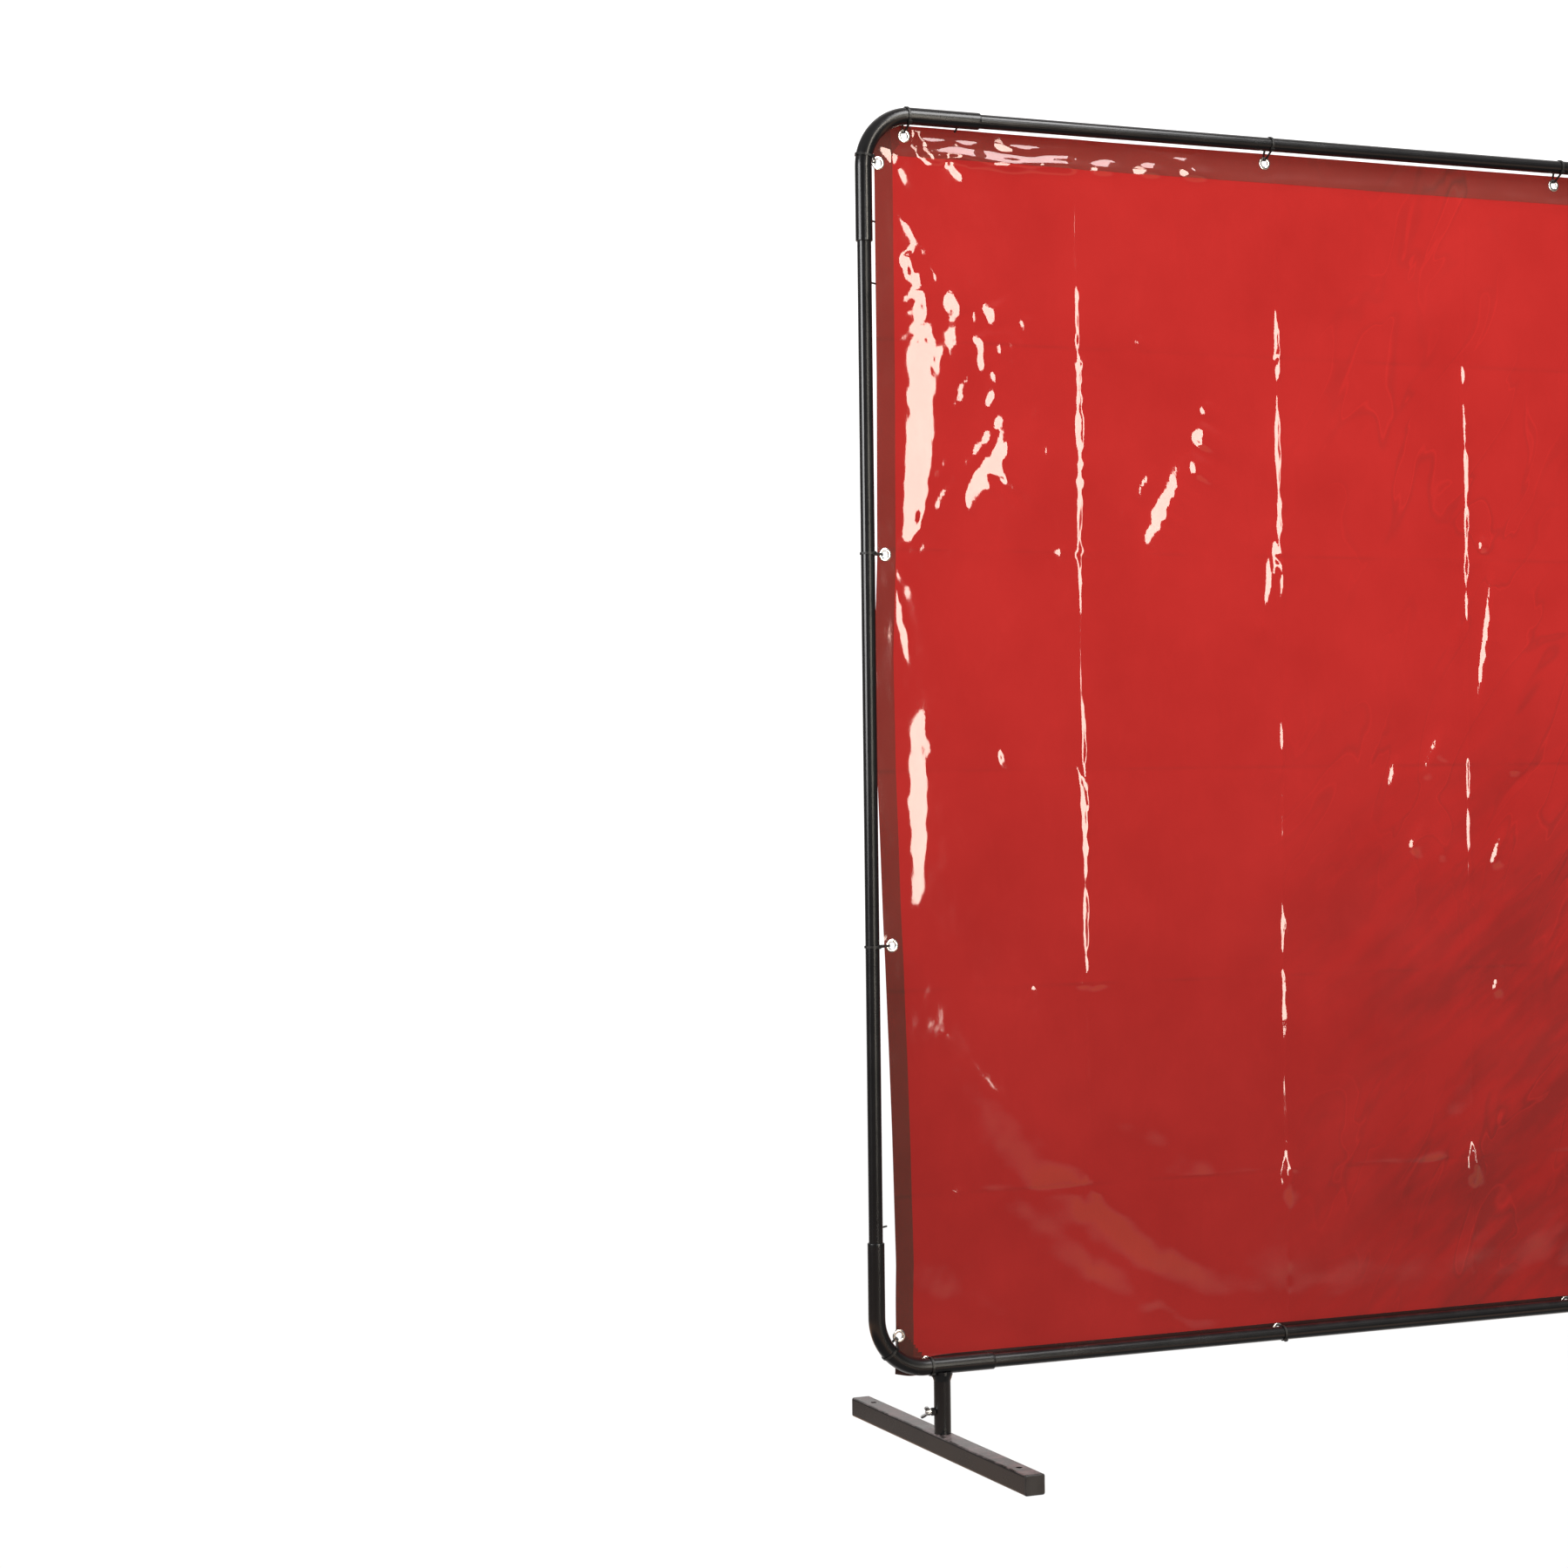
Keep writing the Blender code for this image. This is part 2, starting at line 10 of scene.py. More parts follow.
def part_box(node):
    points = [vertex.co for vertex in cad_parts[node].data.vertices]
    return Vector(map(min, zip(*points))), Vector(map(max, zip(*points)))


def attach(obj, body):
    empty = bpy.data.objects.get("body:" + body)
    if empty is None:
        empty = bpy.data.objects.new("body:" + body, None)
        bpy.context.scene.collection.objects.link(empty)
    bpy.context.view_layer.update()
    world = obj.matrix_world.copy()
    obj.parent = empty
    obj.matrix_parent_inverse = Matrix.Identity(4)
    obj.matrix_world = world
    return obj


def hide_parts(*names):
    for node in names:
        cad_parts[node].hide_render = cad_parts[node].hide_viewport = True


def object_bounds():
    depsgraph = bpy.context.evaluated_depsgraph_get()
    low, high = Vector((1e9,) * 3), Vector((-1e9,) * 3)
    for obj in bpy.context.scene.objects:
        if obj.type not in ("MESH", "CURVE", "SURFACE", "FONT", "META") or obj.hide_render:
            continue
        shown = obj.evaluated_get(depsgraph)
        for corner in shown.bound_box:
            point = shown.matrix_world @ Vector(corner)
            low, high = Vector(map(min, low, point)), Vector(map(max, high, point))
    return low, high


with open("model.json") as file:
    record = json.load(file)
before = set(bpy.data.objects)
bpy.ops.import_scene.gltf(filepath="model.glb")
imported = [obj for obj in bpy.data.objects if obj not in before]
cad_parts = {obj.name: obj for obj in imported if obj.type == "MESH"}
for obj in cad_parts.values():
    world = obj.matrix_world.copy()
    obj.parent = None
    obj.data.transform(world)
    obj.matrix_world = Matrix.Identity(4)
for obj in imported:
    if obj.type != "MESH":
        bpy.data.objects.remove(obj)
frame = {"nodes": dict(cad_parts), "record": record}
cad_low, cad_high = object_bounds()

# The curtain's own layout, in metres. U runs right from its upper left corner and V runs down.
HEM_SIDE = 0.028
HEM_TOP = 0.038
HEM_BOTTOM = 0.020
CORNER_FOLD = 0.066
FILM_LAYER = 0.00022
FOLDS_U = (0.322, 0.656, 0.990, 1.325, 1.610)
FOLDS_V = (0.297, 0.592, 0.905, 1.215, 1.505)
EYELET_BARREL = 0.0067
SLEEVE_LENGTH = 0.105

# Simulation of the hung film
SIM_SPACING = 0.015
SIM_FRAMES = 36
SLACK = 1.0030


def box_size(node):
    low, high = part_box(node)
    return high - low


def box_middle(node):
    low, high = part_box(node)
    return (low + high) / 2


RAIL_TOP = box_middle("top_rail")
RAIL_BOTTOM = box_middle("bottom_rail")
POST_LEFT = box_middle("left_upright")
POST_RIGHT = box_middle("right_upright")
TUBE_RADIUS = box_size("top_rail").z / 2
CURTAIN_LOW, CURTAIN_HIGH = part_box("curtain")
CURTAIN_WIDTH = CURTAIN_HIGH.x - CURTAIN_LOW.x
CURTAIN_HEIGHT = CURTAIN_HIGH.z - CURTAIN_LOW.z
CURTAIN_Y = (CURTAIN_LOW.y + CURTAIN_HIGH.y) / 2
SIDES = ("top", "bottom", "left", "right")
EYELETS = [f"{side}_{i}" for side in SIDES for i in (1, 2, 3, 4)]


# -------- materials

class Nodes:
    """The node tree of a material or a world, with short ways to add to it."""

    def __init__(self, owner):
        owner.use_nodes = True
        self.tree = owner.node_tree

    def add(self, kind, links=(), **settings):
        node = self.tree.nodes.new(kind)
        for key, value in settings.items():
            setattr(node, key, value)
        for socket, value in dict(links).items():
            self.plug(node.inputs[socket], value)
        return node

    def plug(self, target, value):
        """Link a socket into another, or give that one a constant."""
        if isinstance(value, bpy.types.NodeSocket):
            self.tree.links.new(value, target)
        else:
            target.default_value = value

    def remap(self, source, low, high, to_low=0.0, to_high=1.0):
        links = {0: source, 1: low, 2: high, 3: to_low, 4: to_high}
        return self.add("ShaderNodeMapRange", links).outputs[0]

    def soft_remap(self, source, low, high, to_low=0.0, to_high=1.0):
        links = {0: source, 1: low, 2: high, 3: to_low, 4: to_high}
        return self.add("ShaderNodeMapRange", links, interpolation_type="SMOOTHSTEP").outputs[0]

    def maths(self, operation, *values):
        return self.add("ShaderNodeMath", dict(enumerate(values)), operation=operation).outputs[0]

    def weighted_sum(self, start, *terms):
        """A start value plus (value, weight) terms."""
        total = start
        for value, weight in terms:
            total = self.maths("MULTIPLY_ADD", value, weight, total)
        return total

    def mix(self, share, first, second):
        links = {"Factor": share, 6: first, 7: second}
        return self.add("ShaderNodeMix", links, data_type="RGBA").outputs[2]


class Surface(Nodes):
    """A new material with its principled shader."""

    def __init__(self, name):
        self.material = bpy.data.materials.new(name)
        super().__init__(self.material)
        self.shader = self.tree.nodes["Principled BSDF"]
        self.output = self.tree.nodes["Material Output"]
        self.place = self.add("ShaderNodeTexCoord").outputs["Object"]

    def set(self, **values):
        """Constants or links for the shader's sockets, with _ for a space in a socket's name."""
        for key, value in values.items():
            self.plug(self.shader.inputs[key.replace("_", " ")], value)

    def noise_at(self, mapping, scale, detail=2.0, roughness=0.5, distortion=0.0):
        links = {
            "Vector": mapping.outputs[0],
            "Scale": scale,
            "Detail": detail,
            "Roughness": roughness,
            "Distortion": distortion,
        }
        return self.add("ShaderNodeTexNoise", links).outputs["Fac"]

    def noise(self, scale, detail=2.0, stretch=(1, 1, 1), **values):
        mapping = self.add("ShaderNodeMapping", {"Vector": self.place, "Scale": stretch})
        return self.noise_at(mapping, scale, detail, **values)

    def leaning_noise(self, lean, size, scale, detail, **values):
        """Noise of features with a size along X, Y and Z, turned up from X by a lean in degrees."""
        links = {"Vector": self.place, "Rotation": (0, math.radians(-lean), 0), "Scale": size}
        mapping = self.add("ShaderNodeMapping", links, vector_type="TEXTURE")
        return self.noise_at(mapping, scale, detail, **values)

    def bump(self, height, strength, distance, normal=None):
        links = {"Height": height, "Strength": strength, "Distance": distance}
        if normal is not None:
            links["Normal"] = normal
        return self.add("ShaderNodeBump", links).outputs[0]


DUST_AND_SHEEN_COLOUR = (0.50, 0.39, 0.40, 1)
DUST_ROUGHNESS = 0.40
SCUFF_ROUGHNESS = 0.25


def powder_coat(name, colour, worn, gloss, rough, dust_and_sheen_share):
    """Powder coat: orange peel, patchy gloss, fine dust with a painted sheen on what faces up, and a few
    light scuffs.
    """
    n = Surface(name)
    n.set(IOR=1.5)
    peel = n.noise(420, 3)
    dimple = n.noise(1900, 2)
    normal = n.bump(dimple, 0.01, 0.0001)
    n.set(Normal=n.bump(peel, 0.008, 0.0003, normal))
    patch = n.noise(14, 5, roughness=0.6)
    upward = n.add("ShaderNodeSeparateXYZ", {0: n.add("ShaderNodeNewGeometry").outputs["Normal"]}).outputs[2]
    speckle = n.remap(n.noise(55, 6, roughness=0.7), 0.42, 0.72, 0, dust_and_sheen_share)
    # Dust and painted sheen: a paler, pinkish colour on faces that point up
    dust_and_sheen = n.maths("MULTIPLY", n.remap(upward, 0.35, 0.95), speckle)
    scratch = n.noise(90, 8, stretch=(0.25, 1, 0.35), roughness=0.75, distortion=0.6)
    scuff = n.maths("MULTIPLY", n.remap(scratch, 0.69, 0.72), n.remap(patch, 0.55, 0.68, 0, 0.5))
    dust_and_sheen_coloured = n.mix(dust_and_sheen, colour, DUST_AND_SHEEN_COLOUR)
    n.set(Base_Color=n.mix(scuff, dust_and_sheen_coloured, worn))
    base = n.remap(patch, 0.3, 0.7, gloss, rough)
    roughness = n.weighted_sum(base, (dust_and_sheen, DUST_ROUGHNESS), (scuff, SCUFF_ROUGHNESS))
    n.set(Roughness=roughness)
    return n.material


def moulded_plastic(name, colour, rough, fineness, grain):
    """Dark plastic with a fine grain and cloudy gloss."""
    n = Surface(name)
    n.set(IOR=1.46)
    fine = n.noise(fineness, 3, roughness=0.65)
    n.set(Normal=n.bump(fine, grain, 0.0002))
    cloud = n.noise(60, 4)
    n.set(Roughness=n.remap(cloud, 0.3, 0.7, rough - 0.07, rough + 0.08))
    lighter = tuple(min(1.0, 1.9 * c + 0.006) for c in colour[:3]) + (1,)
    n.set(Base_Color=n.mix(n.remap(cloud, 0.35, 0.75, 0, 0.5), colour, lighter))
    return n.material


def plated_metal(name, colour, shade, gloss, rough, scale):
    """Bright plate with cloudy passivation, fine turning marks and little pits."""
    n = Surface(name)
    n.set(Metallic=1.0)
    cloud = n.noise(scale, 4, roughness=0.6)
    n.set(Base_Color=n.mix(n.remap(cloud, 0.35, 0.7), colour, shade))
    mark = n.noise(scale * 14, 3, stretch=(1, 1, 0.15))
    n.set(Roughness=n.remap(n.maths("ADD", mark, cloud), 0.7, 1.3, gloss, rough))
    pits = n.noise(scale * 22, 2)
    n.set(Normal=n.bump(pits, 0.08, 0.0001))
    return n.material


# What each mark adds to the film's density, from 0 for clean film to 1 for its darkest. The random cloud is
# the film's own tone; the darkening towards the foot, the streaks, the crinkle lines and the fold lines are
# painted shade
FOOT_SHADE_DENSITY = 0.45
STREAK_SHADE_DENSITY = 0.50
CRINKLE_SHADE_DENSITY = 0.30
CLOUD_DENSITY = 0.05
FOLD_SHADE_DENSITY = 0.20
DARKEST_RED = 0.08

# What haze and the pale crinkle lines, which are painted sheen, add to the share of the light that meets the
# film's body
HAZE_COVER = 0.03
CRINKLE_SHEEN_COVER = 0.10


def thin_line(n, field, level, core, reach):
    """Line where a field passes a level: 1 within the core on each side of it, and 0 past its reach."""
    away = n.maths("ABSOLUTE", n.maths("SUBTRACT", field, level))
    return n.remap(away, core, reach, 1.0, 0.0)


def fold_line_shade(n, z):
    """Patchy thin dark lines of painted shade where the film was folded level for packing."""
    marks = 0.0
    for place in FOLDS_V:
        marks = n.maths("MAXIMUM", marks, thin_line(n, z, CURTAIN_HIGH.z - place, 0.0006, 0.0040))
    return n.maths("MULTIPLY", marks, n.remap(n.noise(9, 4), 0.40, 0.62))


def shade_streaks(n, x, z):
    """Painted shade of soft folds: dark streaks that rise to the right, on the film's right part below its
    upper third.
    """
    streak = n.leaning_noise(36, (1.1, 1, 0.22), 2.6, 8, roughness=0.66)
    place = n.maths("MULTIPLY", n.soft_remap(x, -0.40, 0.15), n.soft_remap(z, 1.20, 0.60))
    return n.maths("MULTIPLY", place, n.remap(streak, 0.43, 0.59))


def crinkle_shading(n, x):
    """Painted shade and sheen of fine steep crinkles, in patches on the film's right part: a dark line of
    painted shade and a pale line of painted sheen beside it.
    """
    field = n.leaning_noise(58, (1.1, 1, 0.4), 4.6, 2.2, distortion=0.9)
    place = n.maths("MULTIPLY", n.soft_remap(x, -0.34, 0.0), n.remap(n.noise(2.4, 2), 0.42, 0.56))
    dark = n.maths("MULTIPLY", thin_line(n, field, 0.50, 0.0, 0.020), place)
    pale = n.maths("MULTIPLY", thin_line(n, field, 0.525, 0.0, 0.010), place)
    return dark, pale


def film_material(name, through, body, share):
    """Tinted glossy film: part of the light passes through it, and the rest meets its coloured body.

    It is darker towards its foot by painted shade, and it has dark streaks of painted shade along soft folds,
    fine crinkle lines of painted shade and sheen, and fold lines of painted shade.
    """
    n = Surface(name)
    n.set(IOR=1.53, Specular_IOR_Level=1.0)
    n.set(Coat_IOR=1.5, Coat_Weight=1.0, Coat_Roughness=0.04)
    split = n.add("ShaderNodeSeparateXYZ", {0: n.place})
    x, z = split.outputs[0], split.outputs[2]
    cloud = n.noise(5, 4, roughness=0.55)
    smear = n.noise(26, 6, stretch=(1, 1, 0.45), roughness=0.68, distortion=0.7)
    haze = n.remap(smear, 0.48, 0.78)
    pale_body = tuple(min(1.0, 1.25 * c + 0.01) for c in body[:3]) + (1,)
    n.set(Base_Color=n.mix(n.remap(cloud, 0.3, 0.7), body, pale_body))
    n.set(Roughness=n.remap(haze, 0, 1, 0.04, 0.11))
    ripple = n.bump(n.noise(70, 3, roughness=0.55), 0.10, 0.0008)
    n.set(Normal=n.bump(n.noise(210, 2), 0.05, 0.0003, ripple))
    crinkle_shade_line, crinkle_sheen_line = crinkle_shading(n, x)
    # Density: painted shade towards the foot, in streaks, crinkle lines and fold lines, plus the film's own
    # random clouding
    density = n.weighted_sum(
        0.0,
        (n.soft_remap(z, 1.30, 0.15), FOOT_SHADE_DENSITY),
        (shade_streaks(n, x, z), STREAK_SHADE_DENSITY),
        (crinkle_shade_line, CRINKLE_SHADE_DENSITY),
        (n.remap(cloud, 0.3, 0.7, 1.0, 0.0), CLOUD_DENSITY),
        (fold_line_shade(n, z), FOLD_SHADE_DENSITY),
    )
    dark = (DARKEST_RED * through[0], through[1], through[2], 1)
    clear = n.add("ShaderNodeBsdfTransparent", {"Color": n.mix(density, through, dark)})
    cover = n.weighted_sum(share, (haze, HAZE_COVER), (crinkle_sheen_line, CRINKLE_SHEEN_COVER))
    mixed = n.add("ShaderNodeMixShader", {0: cover, 1: clear.outputs[0], 2: n.shader.outputs[0]})
    n.plug(n.output.inputs["Surface"], mixed.outputs[0])
    return n.material


FLOOR_GLOW_SHARE = 0.86


def floor_material():
    """White floor that takes a faint shadow beside the feet and ends in the backdrop a little further out."""
    n = Surface("floor")
    n.set(Roughness=0.7, Specular_IOR_Level=0.1)
    speck = n.noise(40, 5)
    n.set(Base_Color=n.mix(speck, (0.84, 0.84, 0.84, 1), (0.88, 0.88, 0.88, 1)))
    glow = n.add("ShaderNodeEmission", {"Color": (1, 1, 1, 1), "Strength": 1.05})
    near = n.add("ShaderNodeMixShader", {0: FLOOR_GLOW_SHARE, 1: n.shader.outputs[0], 2: glow.outputs[0]})
    flattened = {0: n.place, 1: (0.55, 1.0, 0.0)}
    away = n.add("ShaderNodeVectorMath", flattened, operation="MULTIPLY").outputs["Vector"]
    distance = n.add("ShaderNodeVectorMath", {0: away}, operation="LENGTH").outputs["Value"]
    fade = n.soft_remap(distance, 0.50, 0.70, FLOOR_GLOW_SHARE, 1.0)
    clear = n.add("ShaderNodeBsdfTransparent")
    mixed = n.add("ShaderNodeMixShader", {0: fade, 1: near.outputs[0], 2: clear.outputs[0]})
    n.plug(n.output.inputs["Surface"], mixed.outputs[0])
    return n.material


BLACK = (0.0050, 0.0052, 0.0060, 1)
BROWN_BLACK = (0.0075, 0.0052, 0.0046, 1)
FRAME_COAT = powder_coat("frame_coat", BLACK, (0.10, 0.10, 0.10, 1), gloss=0.21, rough=0.28, dust_and_sheen_share=0.03)
# The feet's pale pinkish tops are dust and painted sheen
FOOT_COAT = powder_coat("foot_coat", BROWN_BLACK, (0.14, 0.12, 0.11, 1), gloss=0.24, rough=0.33, dust_and_sheen_share=0.6)
CAP_PLASTIC = moulded_plastic("cap_plastic", (0.022, 0.020, 0.020, 1), rough=0.46, fineness=1500, grain=0.35)
TIE_NYLON = moulded_plastic("tie_nylon", (0.012, 0.012, 0.012, 1), rough=0.38, fineness=900, grain=0.15)
NICKEL = plated_metal("nickel", (0.88, 0.87, 0.85, 1), (0.74, 0.72, 0.68, 1), gloss=0.12, rough=0.3, scale=90)
ZINC = plated_metal("zinc", (0.70, 0.70, 0.68, 1), (0.46, 0.46, 0.47, 1), gloss=0.22, rough=0.42, scale=130)
FILM = film_material("film", (0.338, 0.018, 0.016, 1), (0.55, 0.018, 0.014, 1), share=0.34)
HEM_FILM = film_material("hem_film", (0.74, 0.09, 0.08, 1), (0.17, 0.078, 0.062, 1), share=0.34)
# Dark folded film: its extra layer, with painted shade for where it lies in shadow behind the bottom rail
SHADED_FOLDED_FILM = film_material("shaded_folded_film", (0.20, 0.03, 0.03, 1), (0.045, 0.020, 0.018, 1), share=0.50)
SLOT_FINISH = {
    "frame_powder_coat": FRAME_COAT,
    "foot_powder_coat": FOOT_COAT,
    "cap_plastic": CAP_PLASTIC,
    "tie_nylon": TIE_NYLON,
    "eyelet_nickel": NICKEL,
    "screw_zinc": ZINC,
    "curtain_pvc": FILM,
}


def finish_cad_nodes():
    """Give each CAD piece the finish of its material slot."""
    for row in frame["record"]["subparts"]:
        material = SLOT_FINISH[row["material_slot"]]
        for slot in frame["nodes"][row["node"]].material_slots:
            slot.material = material


# -------- mesh helpers

def add_piece(name, mesh, material, body="frame", stands_for=()):
    """A new visible piece that rides on a body and stands for CAD nodes."""
    obj = bpy.data.objects.new(name, mesh)
    bpy.context.scene.collection.objects.link(obj)
    mesh.materials.clear()
    mesh.materials.append(material)
    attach(obj, body)
    if stands_for:
        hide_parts(*stands_for)
    return obj


def skin(name, rings, closed, sharp=50):
    """Mesh through rings of equal length: a closed loop of rings, or a capped solid."""
    bm = bmesh.new()
    loops = [[bm.verts.new(point) for point in ring] for ring in rings]
    count = len(loops[0])
    pairs = list(zip(loops, loops[1:]))
    if closed:
        pairs.append((loops[-1], loops[0]))
    else:
        bm.faces.new(reversed(loops[0]))
        bm.faces.new(loops[-1])
    for lower, upper in pairs:
        for i in range(count):
            j = (i + 1) % count
            bm.faces.new((lower[i], lower[j], upper[j], upper[i]))
    bmesh.ops.recalc_face_normals(bm, faces=bm.faces)
    mesh = bpy.data.meshes.new(name)
    bm.to_mesh(mesh)
    bm.free()
    mesh.shade_smooth()
    mesh.set_sharp_from_angle(angle=math.radians(sharp))
    return mesh


def ring_at(centre, side, across, radius, sides):
    """Points of a circle round a centre, in the plane of two unit vectors."""
    angles = [2 * math.pi * i / sides for i in range(sides)]
    return [centre + side * (radius * math.cos(a)) + across * (radius * math.sin(a)) for a in angles]


# -------- corner sleeves

SLEEVE_SIDES = 40
SLEEVE_STEPS = 26
SLEEVE_LIP = 0.0011
SLEEVE_LIP_RUN = 4 * SLEEVE_LIP
LIP_STEPS = 4
SLEEVE_WALL = 0.0016


def elbow_piece(name):
    """Bent corner sleeve with rolled lips, swept along its own axis."""
    low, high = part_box(name)
    left = "left" in name
    upper = "top" in name
    radius = (high.y - low.y) / 2
    post = POST_LEFT if left else POST_RIGHT
    rail = RAIL_TOP if upper else RAIL_BOTTOM
    corner = Vector((post.x, 0, rail.z))
    along_rail = Vector((1 if left else -1, 0, 0))
    along_post = Vector((0, 0, -1 if upper else 1))
    reach = high.x - corner.x if left else corner.x - low.x
    bend = reach - SLEEVE_LENGTH
    stations = [(corner + along_rail * reach, -along_rail)]
    stations.append((corner + along_rail * (reach - SLEEVE_LIP_RUN), -along_rail))
    centre = corner + (along_rail + along_post) * bend
    for i in range(SLEEVE_STEPS + 1):
        a = math.pi / 2 * i / SLEEVE_STEPS
        point = centre - along_post * (bend * math.cos(a)) - along_rail * (bend * math.sin(a))
        heading = -along_rail * math.cos(a) + along_post * math.sin(a)
        stations.append((point, heading))
    stations.append((corner + along_post * (reach - SLEEVE_LIP_RUN), along_post))
    stations.append((corner + along_post * reach, along_post))
    across = Vector((0, 1, 0))
    last = len(stations) - 1

    def ring(index, size, shift=0.0):
        point, heading = stations[index]
        return ring_at(point + heading * shift, heading.cross(across), across, size, SLEEVE_SIDES)

    bore = radius - SLEEVE_WALL
    lips = []
    for i in range(LIP_STEPS + 1):
        a = math.pi / 2 * i / LIP_STEPS
        lips.append((radius - SLEEVE_LIP * (1 - math.sin(a)), SLEEVE_LIP * (1 - math.cos(a))))
    rings = [ring(0, size, shift) for size, shift in lips]
    rings += [ring(i, radius) for i in range(1, last)]
    rings += [ring(last, size, -shift) for size, shift in reversed(lips)]
    rings += [ring(i, bore) for i in range(last, -1, -1)]
    mesh = skin(name, rings, closed=True)
    add_piece("sleeve_" + name, mesh, FRAME_COAT, "frame", (name,))


def make_elbows():
    for name in ("top_left_elbow", "top_right_elbow", "bottom_left_elbow", "bottom_right_elbow"):
        elbow_piece(name)


# -------- eyelets

EYELET_SIDES = 40
EYELET_HOLE = 0.0050
DOME_STEPS = 8
DOME_RIM = 0.45
FACE_BACK = -0.0004
WASHER_FRONT = 0.0005
WASHER_MIDDLE = 0.0007
WASHER_BACK = 0.0010
WASHER_EDGE = 0.0003


def eyelet_profile(hole, flange, depth):
    """Closed outline (radius, depth) of a rolled eyelet: domed face, barrel and flat washer."""
    outline = []
    for i in range(DOME_STEPS + 1):
        a = math.pi * i / DOME_STEPS
        middle = (hole + flange) / 2
        radius = middle - (flange - hole) / 2 * math.cos(a)
        outline.append((radius, -depth * (DOME_RIM + (1 - DOME_RIM) * math.sin(a))))
    outline += [(flange - 0.0004, FACE_BACK), (EYELET_BARREL, FACE_BACK), (EYELET_BARREL, WASHER_FRONT)]
    outline += [(flange - WASHER_EDGE, WASHER_FRONT), (flange, WASHER_MIDDLE)]
    outline += [(flange - WASHER_EDGE, WASHER_BACK), (hole + 0.0008, 0.0012), (hole + 0.0001, depth * 0.97)]
    return outline


def make_eyelets():
    """Rolled eyelets in the places of the plain ones."""
    pieces = []
    for name in EYELETS:
        node = "eyelet_" + name
        size = box_size(node)
        centre = box_middle(node)
        outline = eyelet_profile(EYELET_HOLE, size.x / 2, size.y / 2)
        rings = []
        for radius, depth in outline:
            point = centre + Vector((0, depth, 0))
            rings.append(ring_at(point, Vector((1, 0, 0)), Vector((0, 0, 1)), radius, EYELET_SIDES))
        mesh = skin(node, rings, closed=True, sharp=60)
        pieces.append(add_piece("grommet_" + name, mesh, NICKEL, "frame", (node,)))
    return pieces


# -------- pins

PIN_RADIUS = 0.0014
PIN_SIDES = 12
PIN_TAPER = ((0.0, 0.5), (0.04, 0.9), (0.1, 1.0), (0.9, 1.0), (0.96, 0.9), (1.0, 0.5))
PIN_PLACES_SIDE = (0.133, 0.220, 1.544)
PIN_PLACE_TOP = 0.129
PIN_START_DEPTH = 0.9 * TUBE_RADIUS
PIN_START_Y = 0.0045
PIN_END_Y = CURTAIN_Y - 0.001
PIN_OVERLAP_SIDE = 0.0035
PIN_GAP_TOP = 0.001


def make_pin(name, start, end):
    """Short dark pin from the tube to the film's edge, with round ends."""
    along = (end - start).normalized()
    side = along.orthogonal().normalized()
    across = along.cross(side)
    rings = []
    for place, size in PIN_TAPER:
        rings.append(ring_at(start.lerp(end, place), side, across, PIN_RADIUS * size, PIN_SIDES))
    add_piece(name, skin(name, rings, closed=False), TIE_NYLON)


def make_pins():
    """Pins beside both uprights and under the top rail's ends."""
    for side, sign in (("left", 1), ("right", -1)):
        edge = CURTAIN_LOW.x if sign > 0 else CURTAIN_HIGH.x
        post = POST_LEFT.x if sign > 0 else POST_RIGHT.x
        for i, place in enumerate(PIN_PLACES_SIDE):
            z = CURTAIN_HIGH.z - place
            start = Vector((post + sign * PIN_START_DEPTH, PIN_START_Y, z))
            end = Vector((edge + sign * PIN_OVERLAP_SIDE, PIN_END_Y, z))
            make_pin(f"pin_{side}_{i + 1}", start, end)
        x = edge + sign * PIN_PLACE_TOP
        start = Vector((x, PIN_START_Y, RAIL_TOP.z - PIN_START_DEPTH))
        end = Vector((x, PIN_END_Y, CURTAIN_HIGH.z + PIN_GAP_TOP))
        make_pin(f"pin_{side}_top", start, end)


# -------- curtain

SPACING_GROWTH = 0.22


def fine_lines(length, coarse, spots):
    """Grid places from 0 to length, closer near each spot (place, half-width, spacing)."""
    places = [0.0]
    while places[-1] < length:
        step = coarse
        for place, half, spacing in spots:
            away = max(0.0, abs(places[-1] + spacing / 2 - place) - half)
            step = min(step, spacing + SPACING_GROWTH * away)
        places.append(places[-1] + step)
    places = np.array(places)
    return places * (length / places[-1])


def waves(u, v, seed, count, shortest, longest, tilt=0.0, spread=math.pi):
    """Smooth random field of about unit size, from plane waves between two wavelengths."""
    rng = np.random.default_rng(seed)
    field = np.zeros_like(u)
    for _ in range(count):
        length = shortest * (longest / shortest) ** rng.random()
        angle = tilt + spread * (rng.random() - 0.5)
        phase = 2 * math.pi * rng.random()
        field += np.sin(2 * math.pi * (u * math.cos(angle) + v * math.sin(angle)) / length + phase)
    return field * math.sqrt(2.0 / count)


def ripple(x, seed, count, shortest, longest):
    """Waves along one line."""
    return waves(x, np.zeros_like(x), seed, count, shortest, longest)


def bell(x, width):
    return np.exp(-((x / width) ** 2))


def smoothstep(x, low, high):
    t = np.clip((x - low) / (high - low), 0, 1)
    return t * t * (3 - 2 * t)


def nearest(x, y, places):
    """Distance from each point to the nearest of the places."""
    return np.min([np.hypot(x - place_x, y - place_y) for place_x, place_y in places], axis=0)


def edge_distance(u, v):
    return np.minimum(np.minimum(u, CURTAIN_WIDTH - u), np.minimum(v, CURTAIN_HEIGHT - v))


EYELET_CENTRES = [box_middle("eyelet_" + name) for name in EYELETS]
EYELET_SPOTS = [(centre.x - CURTAIN_LOW.x, CURTAIN_HIGH.z - centre.z) for centre in EYELET_CENTRES]


